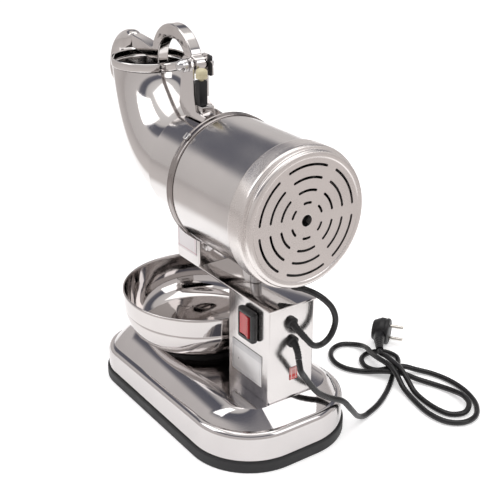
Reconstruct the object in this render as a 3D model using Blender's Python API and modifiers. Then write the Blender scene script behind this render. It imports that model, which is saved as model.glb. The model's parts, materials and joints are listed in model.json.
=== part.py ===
"""Shaved ice machine: an electric ice shaver on a pressed steel base, with a bowl under its chute.

The front (hopper, grip and bowl) faces -Y, the vented end of the motor faces +Y, the mains switch faces +X
and z = 0 is the underside of the rubber skirt. Dimensions are in millimetres and become metres in mm().
"""

import math

import bmesh
import bpy
from mathutils import Matrix, Vector

GAP = 0.3  # clearance between neighbouring pieces

# Base: a rounded rectangle with larger corners at the rear
BASE_HALF_WIDTH = 102.0
BASE_FRONT = -120.0
BASE_REAR = 216.0
BASE_FRONT_RADIUS = 58.0
BASE_REAR_RADIUS = 80.0
SKIRT_HEIGHT = 15.0
SKIRT_WIDTH = 14.0
SHEET = 1.5
PLATEAU_Z = 72.0
PLATEAU_HALF_WIDTH = 62.0
PLATEAU_FRONT = -84.0
PLATEAU_REAR = 189.0
SHOULDER_DROP = 5.5

# Column and its top plate
COLUMN_HALF_WIDTH = 31.7
COLUMN_FRONT = 106.0
COLUMN_REAR = 187.0
COLUMN_TOP = 190.0
PLATE_THICKNESS = 2.5
PLATE_HALF_WIDTH = 33.0

# Motor, all turned about one axis along Y
AXIS_Z = 300.7
HOUSING_RADIUS = 77.5
HOUSING_FRONT = 56.0
HOUSING_REAR = 186.0
END_CAP_RADIUS = 80.7
END_CAP_REAR = 209.0
SLOT_WIDTH = 2.9
CHAMBER_RADIUS = 62.8
CHAMBER_FRONT = -16.7
CHAMBER_REAR = 54.0
SHAFT_RADIUS = 6.0
DISC_RADIUS = 60.0
RUNNING_GAP = 0.06

# Chute under the blade chamber
CHUTE_FRONT = -7.0
CHUTE_REAR = 43.0

# Elbow: an arc about the lever's hinge, so that the pusher can swing through it
HINGE_Y = -6.0
HINGE_Z = 424.0
MOUTH_Y = -117.5
MOUTH_Z = 411.0
RIM_HEIGHT = 10.5
ELBOW_END_ANGLE = 267.4
MOUTH_ARC = 113.0
END_ARC = 123.2
MOUTH_RADIUS = 46.6
RIM_RADIUS = 47.6
ELBOW_RADIUS = 60.2

# Lever, pusher and hinge
LEVER_HALF_WIDTH = 7.5
GRIP_HALF_WIDTH = 11.5
HUB_RADIUS = 11.0
BOLT_RADIUS = 4.0
PUSHER_ARC = 117.0
PUSHER_RADIUS = 37.0
PUSHER_ANGLE = 262.5
BRACKET_HALF_WIDTH = 14.0
FOOT_TOP = 368.8
PLUNGER_AT = (6.0, 13.2)

# Bowl
BOWL_Y = -4.0
BOWL_RIM_RADIUS = 99.2
BOWL_RIM_Z = 140.3
BOWL_BOTTOM = 78.6

# Switch on the column
SWITCH_Y = 152.0
SWITCH_Z = 163.0

# Cords
CORD_DIAMETER = 7.2
CORD_REST_Z = 3.7
BOOT_END_RADIUS = 4.7

# Plug: round body lying on its edge, with its pins level
PLUG_RADIUS = 18.7
PLUG_LENGTH = 24.0
PIN_RADIUS = 2.4
PIN_LENGTH = 19.0
PIN_SPACING = 19.0
PLUG_FACE = (-269.0, 67.3, 19.0)
PLUG_HEADING = math.radians(126.0)

# The mains cord from the end of its strain relief, down over the rear corner of the base and along the
# floor: a small ring, the outer right loop, the left loop and the inner right loop, back to the plug.
MAINS_ROUTE = (
    (-4.5, 207, 107), (-14, 207, 93), (-26, 207, 78),
    (-44, 206.5, 64.5), (-64, 207.5, 53), (-83, 203, 31), (-100, 196, 12), (-118, 191, 3.8),
    (-146, 182, 3.8), (-172, 168, 3.8), (-195, 152, 3.8), (-215, 136, 3.8), (-236, 122, 3.8),
    (-248, 105, 3.8), (-243, 85.5, 3.8), (-224, 76, 3.8), (-204.5, 82.5, 3.8), (-195.5, 101, 3.8),
    (-200, 119.5, 5.5), (-212, 132.5, 11.2), (-229, 139, 11.2), (-245, 149, 5.5), (-258, 168, 3.8),
    (-264, 195, 3.8), (-262, 224, 3.8), (-251, 252, 3.8), (-231, 271, 3.8), (-208, 273, 3.8),
    (-191, 259, 3.8), (-186, 233, 3.8), (-191, 202, 3.8), (-198, 174, 6), (-203, 155, 14.5),
    (-205.5, 141, 18.9), (-207, 126, 18.9), (-209, 109, 17), (-214.5, 91, 13.4), (-221, 75, 11.3),
    (-225, 60, 7), (-220.5, 45.5, 4), (-206.5, 36, 3.8), (-189, 39, 3.8), (-175, 51.5, 3.8), (-168, 69, 3.8),
    (-169, 86, 3.8), (-176, 100, 3.8), (-187, 112.5, 4.2), (-196, 126.5, 8.5),
    (-205.5, 140, 11.4), (-216.5, 153, 11), (-229, 168, 5.6),
    (-241, 190, 3.8), (-247, 214, 5.5), (-245.5, 236, 9), (-240, 250.5, 7), (-224.5, 258.5, 4.4),
    (-208.5, 252, 3.8), (-202, 237, 3.8), (-201, 214, 3.8), (-205, 188, 4.5), (-209.5, 168, 12.5),
    (-213, 151, 18.9), (-215.5, 136, 19.3), (-218.5, 117, 19.4),
)
MAINS_BOOT = ((-0.1, 194.5, 143), (1.2, 200.3, 137.5), (2.4, 204, 131))
PLUG_NECK = ((-246, 71, 18.8), (-234, 84.5, 19), (-223, 98.2, 19.2))

# The lead from the column to the gland in the underside of the motor
LEAD_ROUTE = (
    (-17.5, 208.3, 144.2), (-28, 207.5, 142.7), (-38.5, 207, 147.6), (-45, 207, 158), (-46.5, 207, 170),
    (-42.5, 205.5, 183), (-34.5, 202, 194), (-25, 196, 202.5), (-15, 186, 207.5),
)
LEAD_BOOT = ((0.5, 194.5, 167.3), (-2.2, 200, 161.8), (-6, 204, 156))
MOTOR_GLAND = ((-5, 162.5, 219.4), (-5.4, 164.5, 216.6), (-5.5, 165, 216), (-6.6, 170.2, 212.7))

PARTS = None
CUTTERS = None


def mm(*values):
    scaled = [value * 0.001 for value in values]
    return scaled[0] if len(scaled) == 1 else Vector(scaled)


def clear_scene():
    for obj in list(bpy.data.objects):
        bpy.data.objects.remove(obj, do_unlink=True)


def new_collection(name):
    made = bpy.data.collections.new(name)
    bpy.context.scene.collection.children.link(made)
    return made


def material(name, colour, roughness, metallic):
    made = bpy.data.materials.new(name)
    made.use_nodes = True
    shader = made.node_tree.nodes["Principled BSDF"]
    shader.inputs["Base Color"].default_value = (*colour, 1.0)
    shader.inputs["Roughness"].default_value = roughness
    shader.inputs["Metallic"].default_value = metallic
    return made


def polished(name):
    return material(name, (0.78, 0.76, 0.75), 0.12, 1.0)


def brushed(name):
    return material(name, (0.66, 0.64, 0.62), 0.35, 1.0)


def black_plastic(name):
    return material(name, (0.02, 0.02, 0.022), 0.4, 0.0)


def place(name, data, look, location=(0, 0, 0), rotation=(0, 0, 0)):
    """One named sub-part in the parts collection, at a location in millimetres."""
    obj = bpy.data.objects.new(name, data)
    obj.location = mm(*location)
    obj.rotation_euler = rotation
    data.materials.append(look)
    PARTS.objects.link(obj)
    return obj


def as_cutter(obj):
    PARTS.objects.unlink(obj)
    CUTTERS.objects.link(obj)
    obj.hide_render = True
    obj.display_type = "WIRE"
    return obj


def boolean(obj, other, operation="DIFFERENCE"):
    modifier = obj.modifiers.new(operation.title(), "BOOLEAN")
    modifier.operation = operation
    modifier.solver = "EXACT"
    modifier.object = as_cutter(other)


def round_edges(obj, width, segments=2):
    bevel = obj.modifiers.new("Bevel", "BEVEL")
    bevel.width = mm(width)
    bevel.segments = segments
    bevel.limit_method = "ANGLE"
    bevel.angle_limit = math.radians(40)


def box(name, look, low, high, rounding=0.0):
    centre = [(a + b) / 2 for a, b in zip(low, high)]
    size = [b - a for a, b in zip(low, high)]
    mesh = bpy.data.meshes.new(name)
    shape = bmesh.new()
    bmesh.ops.create_cube(shape, size=1.0, matrix=Matrix.Diagonal((*mm(*size), 1.0)))
    shape.to_mesh(mesh)
    shape.free()
    obj = place(name, mesh, look, centre)
    if rounding:
        round_edges(obj, rounding)
    return obj


def along_x():
    return (0, math.radians(90), 0)


def along_y():
    return (math.radians(-90), 0, 0)


def turned(name, look, profile, steps, location=(0, 0, 0), rotation=(0, 0, 0), ring=True):
    """A profile of (radius, height) points, running down its outer side, turned about local Z."""
    mesh = bpy.data.meshes.new(name)
    points = [mm(radius, 0, height) for radius, height in profile]
    edges = [(i, i + 1) for i in range(len(points) - 1)]
    if ring:
        edges.append((len(points) - 1, 0))
    mesh.from_pydata(points, edges, [])
    obj = place(name, mesh, look, location, rotation)
    screw = obj.modifiers.new("Screw", "SCREW")
    screw.steps = steps
    screw.render_steps = steps
    screw.use_merge_vertices = True
    screw.merge_threshold = 0.00001
    screw.use_smooth_shade = True
    return obj


def motor_turned(name, look, profile, steps, ring=True):
    """A piece turned about the motor's axis: its profile heights are world y."""
    return turned(name, look, profile, steps, (0, 0, AXIS_Z), along_y(), ring)


def cylinder(name, look, radius, length, location, rotation=(0, 0, 0), sides=24, radius_top=None):
    """A cylinder or cone centred on its location, along local Z."""
    mesh = bpy.data.meshes.new(name)
    shape = bmesh.new()
    top = radius if radius_top is None else radius_top
    bmesh.ops.create_cone(
        shape, cap_ends=True, segments=sides, radius1=mm(radius), radius2=mm(top), depth=mm(length),
    )
    shape.to_mesh(mesh)
    shape.free()
    mesh.shade_smooth()
    mesh.set_sharp_from_angle(angle=math.radians(40))
    return place(name, mesh, look, location, rotation)


PLANES = {
    "XY": Matrix.Identity(3),
    "XZ": Matrix(((1, 0, 0), (0, 0, -1), (0, 1, 0))),
    "YZ": Matrix(((0, 0, 1), (1, 0, 0), (0, 1, 0))),
}


def flat(name, look, outlines, plane, middle, thickness):
    """A flat piece from closed outlines in a plane; a second outline inside the first is a hole."""
    curve = bpy.data.curves.new(name, "CURVE")
    curve.dimensions = "2D"
    curve.fill_mode = "BOTH"
    curve.extrude = mm(thickness / 2)
    for outline in outlines:
        spline = curve.splines.new("POLY")
        spline.points.add(len(outline) - 1)
        for point, (u, v) in zip(spline.points, outline):
            point.co = (mm(u), mm(v), 0, 1)
        spline.use_cyclic_u = True
    obj = place(name, curve, look)
    turn = PLANES[plane]
    obj.rotation_euler = turn.to_euler()
    obj.location = turn @ Vector((0, 0, mm(middle)))
    return as_mesh(obj)


def as_mesh(obj):
    """The curve object made a welded mesh object of the same name and place."""
    bpy.context.view_layer.update()
    graph = bpy.context.evaluated_depsgraph_get()
    mesh = bpy.data.meshes.new_from_object(obj.evaluated_get(graph))
    shape = bmesh.new()
    shape.from_mesh(mesh)
    bmesh.ops.remove_doubles(shape, verts=shape.verts, dist=0.000001)
    bmesh.ops.recalc_face_normals(shape, faces=shape.faces)
    shape.to_mesh(mesh)
    shape.free()
    name = obj.name
    world = obj.matrix_world.copy()
    look = obj.data.materials[0]
    bpy.data.objects.remove(obj, do_unlink=True)
    mesh.materials.clear()
    made = place(name, mesh, look)
    made.matrix_world = world
    return made


def rod(name, look, points, radii, sides=8):
    """A solid tube along points, with one radius or a radius for each point."""
    curve = bpy.data.curves.new(name, "CURVE")
    curve.dimensions = "3D"
    curve.bevel_depth = mm(1)
    curve.bevel_resolution = (sides - 4) // 2
    curve.use_fill_caps = True
    if isinstance(radii, (int, float)):
        radii = [radii] * len(points)
    spline = curve.splines.new("POLY")
    spline.points.add(len(points) - 1)
    for point, place_mm, radius in zip(spline.points, points, radii):
        point.co = (*mm(*place_mm), 1)
        point.radius = radius
    spline.use_smooth = True
    return place(name, curve, look)


def arc(cy, cz, radius, start, end, count):
    """Points (y, z) on an arc, from start to end in degrees."""
    angles = [math.radians(start + (end - start) * i / (count - 1)) for i in range(count)]
    return [(cy + radius * math.cos(a), cz + radius * math.sin(a)) for a in angles]


def rounded_outline(half_width, front, rear, front_radius, rear_radius, per_corner=8):
    """A rectangle symmetric in X, with its own corner radius at the front and at the rear."""
    f, r = front_radius, rear_radius
    outline = arc(half_width - r, rear - r, r, 0, 90, per_corner)
    outline += arc(-half_width + r, rear - r, r, 90, 180, per_corner)
    outline += arc(-half_width + f, front + f, f, 180, 270, per_corner)
    outline += arc(half_width - f, front + f, f, 270, 360, per_corner)
    return outline


def base_outline(inset, per_corner=8):
    return rounded_outline(
        BASE_HALF_WIDTH - inset, BASE_FRONT + inset, BASE_REAR - inset,
        BASE_FRONT_RADIUS - inset, BASE_REAR_RADIUS - inset, per_corner,
    )


def rectangle(u0, u1, v0, v1):
    return [(u0, v0), (u1, v0), (u1, v1), (u0, v1)]


def bridge_rings(shape, rings, cyclic=True):
    for lower, upper in zip(rings, rings[1:]):
        count = len(lower)
        for i in range(count if cyclic else count - 1):
            j = (i + 1) % count
            shape.faces.new((lower[i], lower[j], upper[j], upper[i]))


def loft(name, look, sections, close_ends=(True, True)):
    """Rings of the same number of points, joined in order, anticlockwise seen from the last ring."""
    mesh = bpy.data.meshes.new(name)
    shape = bmesh.new()
    rings = [[shape.verts.new(mm(*point)) for point in section] for section in sections]
    bridge_rings(shape, rings)
    if close_ends[0]:
        shape.faces.new(list(reversed(rings[0])))
    if close_ends[1]:
        shape.faces.new(rings[-1])
    shape.to_mesh(mesh)
    shape.free()
    mesh.shade_smooth()
    return place(name, mesh, look)


def ease(t):
    return t * t * (3 - 2 * t)


# ---------------------------------------------------------------- base

def blend(a, b, t):
    return [(p[0] + (q[0] - p[0]) * t, p[1] + (q[1] - p[1]) * t) for p, q in zip(a, b)]


def smoothstep(low, high, value):
    return ease(max(0.0, min(1.0, (value - low) / (high - low))))


def shoulder_drop(y):
    """The shoulder runs lower towards the front."""
    return SHOULDER_DROP * (1 - smoothstep(BASE_FRONT, 130, y))


def make_base():
    """A pressed shell: an upright wall, a round shoulder and a rise to the plateau, straight at the rear."""
    foot_inset, foot_z = 2.5, SKIRT_HEIGHT + GAP
    wall = ((2.5, 41.0), (3.6, 45.5), (6.2, 49.0), (9.5, 51.0))
    rise = ((0.18, 0.3), (0.42, 0.6), (0.68, 0.84), (0.87, 0.965), (1.0, 1.0))
    inset, top = wall[-1]
    shoulder = base_outline(inset)
    plateau = rounded_outline(PLATEAU_HALF_WIDTH, PLATEAU_FRONT, PLATEAU_REAR, 46.0, 26.0)
    sections = [[(x, y, foot_z) for x, y in base_outline(foot_inset)]]
    sections += [[(x, y, z - shoulder_drop(y)) for x, y in base_outline(inset)] for inset, z in wall]
    for t, height in rise:
        section = []
        for (x, y), (_, start_y) in zip(blend(shoulder, plateau, t), shoulder):
            share = height + (t - height) * smoothstep(150, 200, start_y)
            low = top - shoulder_drop(start_y)
            section.append((x, y, low + (PLATEAU_Z - low) * share))
        sections.append(section)
    shell = loft("base_shell", polished("polished_base"), sections, (False, True))
    sheet = shell.modifiers.new("Solidify", "SOLIDIFY")
    sheet.thickness = mm(SHEET)
    sheet.offset = -1
    rubber = material("skirt_rubber", (0.035, 0.035, 0.037), 0.75, 0.0)
    outlines = [base_outline(0), base_outline(SKIRT_WIDTH)]
    flat("base_skirt", rubber, outlines, "XY", SKIRT_HEIGHT / 2, SKIRT_HEIGHT)
    cover = base_outline(SKIRT_WIDTH + GAP)
    flat("bottom_cover", brushed("cover_steel"), [cover], "XY", 4.0, 1.2)


# ---------------------------------------------------------------- column

def make_column():
    inner = COLUMN_HALF_WIDTH - SHEET
    outlines = [
        rectangle(-COLUMN_HALF_WIDTH, COLUMN_HALF_WIDTH, COLUMN_FRONT, COLUMN_REAR),
        rectangle(-inner, inner, COLUMN_FRONT + SHEET, COLUMN_REAR - SHEET),
    ]
    low = PLATEAU_Z + GAP
    high = COLUMN_TOP - GAP
    steel = polished("column_steel")
    column = flat("column_box", steel, outlines, "XY", (low + high) / 2, high - low)
    opening = (SWITCH_Y - 12.5, SWITCH_Y + 12.5, SWITCH_Z - 16, SWITCH_Z + 16)
    hole = box("switch_hole", steel, (20, opening[0], opening[2]), (40, opening[1], opening[3]))
    boolean(column, hole)
    for name, x, z in (("lead_hole", 0.9, 170.0), ("mains_hole", -0.5, 145.5)):
        boolean(column, cylinder(name, steel, 6.4, 12, (x, COLUMN_REAR, z), along_y(), 16))
    box(
        "top_plate", polished("plate_steel"),
        (-PLATE_HALF_WIDTH, CHUTE_REAR + GAP, COLUMN_TOP),
        (PLATE_HALF_WIDTH, COLUMN_REAR + 1.3, COLUMN_TOP + PLATE_THICKNESS), 0.5,
    )
    post_low = COLUMN_TOP + PLATE_THICKNESS + GAP
    post_high = AXIS_Z - HOUSING_RADIUS - 0.6
    post = cylinder(
        "support_post", brushed("post_steel"), 7, post_high - post_low, (0, 116, (post_low + post_high) / 2),
    )
    round_edges(post, 0.8, 1)


def make_capacitor():
    """The motor's run capacitor stands inside the column."""
    profile = [(0, 136), (13, 136), (15, 134), (15, 78), (0, 78)]
    turned("run_capacitor", brushed("capacitor_can"), profile, 20, (0, 130, 0), ring=False)


def make_plates():
    """The rating plate and the small tag, both blank."""
    face = COLUMN_HALF_WIDTH + GAP
    plate = material("rating_plate_foil", (0.72, 0.72, 0.72), 0.4, 0.6)
    box("rating_plate", plate, (face, 115, 89), (face + 0.5, 174, 129), 0.2)
    tag = material("tag_red", (0.55, 0.08, 0.05), 0.5, 0.0)
    box("inspection_tag", tag, (-9, COLUMN_REAR + GAP, 95), (2, COLUMN_REAR + GAP + 0.5, 111), 0.2)


# ---------------------------------------------------------------- switch

def make_switch():
    """A rocker switch: its bezel stands out of the column and its body reaches inside."""
    face = COLUMN_HALF_WIDTH + GAP
    black = black_plastic("switch_black")
    depth = 9.0
    bezel = box(
        "switch_bezel", black,
        (face, SWITCH_Y - 15, SWITCH_Z - 19.5), (face + depth, SWITCH_Y + 15, SWITCH_Z + 19.5), 3.0,
    )
    body = box(
        "switch_body", black,
        (8, SWITCH_Y - 12, SWITCH_Z - 15.5), (face + 1, SWITCH_Y + 12, SWITCH_Z + 15.5),
    )
    boolean(bezel, body, "UNION")
    well = box(
        "switch_well", black,
        (face - 6, SWITCH_Y - 10.8, SWITCH_Z - 13.8), (face + depth + 5, SWITCH_Y + 10.8, SWITCH_Z + 13.8),
    )
    boolean(bezel, well)
    red = material("rocker_red", (0.5, 0.045, 0.035), 0.3, 0.0)
    pivot_x = face + 2.0
    half = 9.6
    rise = 6.3
    outline = [
        (rise, 0), (rise + 1.6, half * 0.98), (2.5, half), (-2.5, half * 0.8), (-3.5, 0), (-2.5, -half * 0.8),
        (2.5, -half), (rise + 1.6, -half * 0.98),
    ]
    rocker = flat("rocker", red, [outline], "XY", 0, 26.4)
    rocker.location = mm(pivot_x, SWITCH_Y, SWITCH_Z)
    rocker.rotation_euler = (0, 0, math.radians(-7))


# ---------------------------------------------------------------- motor

def slot_outline(radius, half_angle, middle, width):
    """A curved slot with round ends, about the motor's axis, in (x, z)."""
    steps = 7
    outer = arc(0, AXIS_Z, radius + width / 2, middle - half_angle, middle + half_angle, steps)
    inner = arc(0, AXIS_Z, radius - width / 2, middle + half_angle, middle - half_angle, steps)
    ends = []
    for angle, turn in ((middle + half_angle, 0), (middle - half_angle, 180)):
        a = math.radians(angle)
        cx, cz = radius * math.cos(a), AXIS_Z + radius * math.sin(a)
        ends.append(arc(cx, cz, width / 2, angle + turn, angle + turn + 180, 4)[1:-1])
    return outer + ends[0] + inner + ends[1]


def make_motor_casing():
    steel = brushed("housing_steel")
    rings = ((20.3, 11.45), (34.2, 18.5), (48.1, 21.4), (62.0, 23.0))
    outer, inner = HOUSING_RADIUS, HOUSING_RADIUS - 1.3
    motor_turned(
        "motor_housing", steel,
        [(outer, HOUSING_REAR), (outer, HOUSING_FRONT), (inner, HOUSING_FRONT), (inner, HOUSING_REAR)], 48,
    )
    lap = HOUSING_RADIUS + GAP
    motor_turned(
        "front_clamp_band", polished("band_steel"),
        [(79.3, 62.4), (79.3, 51.6), (78.3, 50.6), (68, 50.6), (68, 52.0), (lap, 52.0), (lap, 62.4)], 48,
    )
    rear = END_CAP_REAR
    cap = motor_turned(
        "rear_end_cap", brushed("cap_steel"),
        [
            (6.5, rear), (74, rear), (75.8, rear - 0.6), (77.5, rear - 2.6), (77.5, rear - 5.4),
            (76.4, rear - 6.4), (76.4, rear - 7.6), (80.7, rear - 8.8), (END_CAP_RADIUS, 177), (80.2, 176.3),
            (lap + 0.1, 176.3), (lap + 0.1, 198.6), (74.9, 201), (74.9, 206), (73, 207.5), (6.5, 207.5),
        ], 56,
    )
    for ring, (radius, half_angle) in enumerate(rings):
        outlines = [slot_outline(radius, half_angle, 30 + 60 * i, SLOT_WIDTH) for i in range(6)]
        boolean(cap, flat(f"vent_slots_{ring}", steel, outlines, "XZ", -(rear - 1), 6))
    screw = box("band_screw", polished("screw_steel"), (-4, 53, 0), (4, 60, 3.2), 0.6)
    screw.parent = motor_frame(49)


def motor_frame(angle):
    """An empty on the surface of the clamp band, turned about the motor's axis by an angle from +X."""
    frame = bpy.data.objects.new(f"band_frame_{angle}", None)
    PARTS.objects.link(frame)
    a = math.radians(angle)
    frame.location = mm(79.9 * math.cos(a), 0, AXIS_Z + 79.9 * math.sin(a))
    frame.rotation_euler = (0, math.radians(90 - angle), 0)
    return frame


def make_motor_inside():
    """End bell, bearings, windings, rotor and fan, on one axis."""
    cast = material("bell_casting", (0.5, 0.5, 0.5), 0.55, 0.9)
    motor_turned(
        "front_bell", cast,
        [
            (17, 72), (19, 72), (19, 61), (75.9, 61), (75.9, 57), (11, 57), (11, 60.2), (15.3, 60.2),
            (15.3, 72),
        ], 32,
    )
    race = polished("bearing_steel")
    bore = SHAFT_RADIUS + RUNNING_GAP
    for name, low in (("front_bearing", 61.0), ("rear_bearing", 158.0)):
        motor_turned(name, race, [(15, low + 9), (15, low), (bore, low), (bore, low + 9)], 24)
    motor_turned(
        "rear_bell", cast,
        [(75.9, 171), (75.9, 167.6), (11, 167.6), (11, 171)], 32,
    )
    bell = bpy.data.objects["rear_bell"]
    carrier = motor_turned("rear_carrier", cast, [(19, 169), (19, 157), (15.3, 157), (15.3, 169)], 24)
    boolean(bell, carrier, "UNION")
    for i in range(6):
        a = math.radians(60 * i)
        at = (46 * math.cos(a), 169.5, AXIS_Z + 46 * math.sin(a))
        boolean(bell, cylinder(f"air_hole_{i}", cast, 15, 14, at, along_y(), 14))
    laminations = material("laminations", (0.18, 0.18, 0.2), 0.5, 0.8)
    motor_turned("stator", laminations, [(70, 148), (70, 86), (33, 86), (33, 148)], 32)
    seat = SHAFT_RADIUS + GAP
    motor_turned("rotor", laminations, [(32.2, 145), (32.2, 89), (seat, 89), (seat, 145)], 32)
    motor_turned(
        "motor_shaft", race,
        [(0, 196), (SHAFT_RADIUS, 196), (SHAFT_RADIUS, -4.4), (0, -4.4)], 24, ring=False,
    )
    make_fan()


def make_fan():
    """A hub with eight flat blades behind the rear bell."""
    plastic = black_plastic("fan_plastic")
    seat = SHAFT_RADIUS + GAP
    fan = motor_turned("cooling_fan", plastic, [(14, 192), (14, 178), (seat, 178), (seat, 192)], 24)
    hub = Matrix.Translation(mm(0, 0, AXIS_Z))
    reach = Matrix.Translation(mm(38, 185.5, 0))
    lean = Matrix.Rotation(math.radians(118), 4, "X")
    for i in range(8):
        blade = box(f"fan_blade_{i}", plastic, (12, -1, 180), (64, 1, 191))
        blade.location = Vector((0, 0, 0))
        turn = Matrix.Rotation(math.radians(45 * i), 4, "Y")
        blade.matrix_world = hub @ turn @ reach @ lean
        boolean(fan, blade, "UNION")


# ---------------------------------------------------------------- blade chamber and chute

def make_chamber():
    """A cup behind the elbow: its back wall carries the shaft and its floor is open over the chute."""
    outer, inner = CHAMBER_RADIUS, CHAMBER_RADIUS - SHEET
    chamber = motor_turned(
        "blade_chamber", polished("chamber_steel"),
        [
            (7.5, CHAMBER_REAR), (75.5, CHAMBER_REAR), (75.5, 52.3), (outer, 52.3), (outer, CHAMBER_FRONT),
            (inner, CHAMBER_FRONT), (inner, 50.8), (7.5, 50.8),
        ], 48,
    )
    boolean(chamber, box("chamber_floor_cut", chamber.data.materials[0], (-29, -4, 200), (29, 41, 262)))
    steel = polished("blade_steel")
    bore = SHAFT_RADIUS + GAP
    disc = motor_turned("blade_disc", steel, [(DISC_RADIUS, 0), (DISC_RADIUS, -4), (bore, -4), (bore, 0)], 40)
    for i in range(3):
        turn = Matrix.Translation(mm(0, 0, AXIS_Z)) @ Matrix.Rotation(math.radians(120 * i), 4, "Y")
        slot = box(f"blade_slot_{i}", steel, (16, -8, -5), (54, 4, -1))
        slot.matrix_world = turn @ Matrix.Translation(mm(35, -2, -3))
        boolean(disc, slot)
        blade = box(f"blade_{i + 1}", steel, (15, -7, 0), (55, -4.3, 12))
        blade.matrix_world = turn @ Matrix.Translation(mm(35, -5.65, 5.2))
    cylinder("disc_nut", brushed("nut_steel"), 10, 5, (0, -7.3, AXIS_Z), along_y(), 6)


def make_chute():
    steel = polished("chute_steel")
    half = COLUMN_HALF_WIDTH
    outlines = [
        rectangle(-half, half, CHUTE_FRONT, CHUTE_REAR),
        rectangle(-half + 1.3, half - 1.3, CHUTE_FRONT + 1.3, CHUTE_REAR - 1.3),
    ]
    chute = flat("ice_chute", steel, outlines, "XY", 225, 70)
    clearance = cylinder("chamber_clearance", steel, CHAMBER_RADIUS + 0.5, 90, (0, 18, AXIS_Z), along_y(), 48)
    boolean(chute, clearance)
    corner = box("chute_corner_cut", steel, (-40, -20, 180), (40, 0, 193))
    corner.rotation_euler = (math.radians(-22), 0, 0)
    boolean(chute, corner)
    label = material("chute_label", (0.85, 0.85, 0.85), 0.5, 0.0)
    box("chute_plate", label, (half + GAP, -4, 203), (half + GAP + 0.4, 38, 240), 0.15)
    nut_at = (19.6, CHUTE_REAR + GAP + 2.25, 214.8)
    round_edges(cylinder("chute_nut", brushed("chute_nut_steel"), 5.5, 4.5, nut_at, along_y(), 6), 0.6, 1)


# ---------------------------------------------------------------- elbow hopper

def on_hinge_arc(radius, angle):
    a = math.radians(angle)
    return HINGE_Y + radius * math.cos(a), HINGE_Z + radius * math.sin(a)


def ring_section(y, z, radius, plane):
    """A circle about (y, z), in a plane that holds X and leans by an angle in degrees."""
    lean = math.radians(plane)
    angles = [2 * math.pi * i / 36 for i in range(36)]
    return [
        (radius * math.cos(a), y + radius * math.sin(a) * math.cos(lean), z + radius * math.sin(a) * math.sin(lean))
        for a in angles
    ]


def thin_shell(name, look, sections, thickness):
    shell = loft(name, look, sections, (False, False))
    sheet = shell.modifiers.new("Solidify", "SOLIDIFY")
    sheet.thickness = mm(thickness)
    sheet.offset = -1


def make_elbow():
    """A thin elbow that widens from the mouth to the blade chamber, with a rolled rim on top."""
    count = 15
    below = HINGE_Z - MOUTH_Z + RIM_HEIGHT + GAP
    start = 180 + math.degrees(math.asin(below / MOUTH_ARC))
    sections = []
    for i in range(count):
        t = i / (count - 1)
        angle = start + (ELBOW_END_ANGLE - start) * t
        middle = MOUTH_ARC + (END_ARC - MOUTH_ARC) * ease(t)
        radius = MOUTH_RADIUS + (ELBOW_RADIUS - MOUTH_RADIUS) * ease(t)
        plane = angle - (start - 180) * (1 - ease(min(1.0, 2 * t)))
        sections.append(ring_section(*on_hinge_arc(middle, angle), radius, plane))
    thin_shell("elbow_hopper", polished("elbow_steel"), sections, 1.4)
    rim = ((0, 0.5), (0.5, 0), (RIM_HEIGHT / 2, 0), (RIM_HEIGHT, 0.2))
    sections = [ring_section(MOUTH_Y, MOUTH_Z - depth, RIM_RADIUS - inset, 180) for depth, inset in rim]
    thin_shell("mouth_rim", polished("rim_steel"), sections, 1.6)


# ---------------------------------------------------------------- lever and pusher

def lever_outline():
    """Bar, arch and hub as one casting, seen from the side."""
    outline = [(-148, 416.5), (-148, 432.5), (-122, 430.2), (-99, 426.0)]
    outline += arc(-50, 414.5, 48, 164, 24, 18)
    outline += arc(HINGE_Y, HINGE_Z, HUB_RADIUS, 40, -100, 9)
    outline += arc(-50, 414, 33, 0, 180, 16)
    outline += [(-83, 409), (-83.5, 408.1), (-95, 408.1), (-98, 410.5), (-120, 413.5)]
    return outline


def circle(u, v, radius, count=16):
    return arc(u, v, radius, 0, 360 - 360 / count, count)


def grip_sections():
    """The grip's outline, seen from the side, shrinks towards both ends like a rounded pebble."""
    outline = [
        (-148.3, 417), (-148.3, 431.5), (-152, 435), (-160, 436), (-171, 434), (-184, 428), (-196, 418.5),
        (-206, 406), (-212.5, 391), (-216, 376), (-214.5, 365), (-208, 359), (-197, 358.5), (-187, 363),
        (-180, 374), (-176.5, 389), (-174.5, 403), (-169, 412), (-158, 415.5),
    ]
    centre_y, centre_z = -178.0, 410.0
    sections = []
    for i in range(-5, 6):
        u = math.sin(math.pi / 2 * i / 5.4)
        scale = (1 - abs(u) ** 2.6) ** (1 / 2.6)
        section = []
        for y, z in outline:
            near_rear = max(0.0, min(1.0, (y + 178) / 30))
            shrink = scale + (1 - scale) * 0.45 * near_rear
            x = GRIP_HALF_WIDTH * u
            section.append((x, centre_y + (y - centre_y) * shrink, centre_z + (z - centre_z) * shrink))
        sections.append(section)
    return sections


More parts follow.
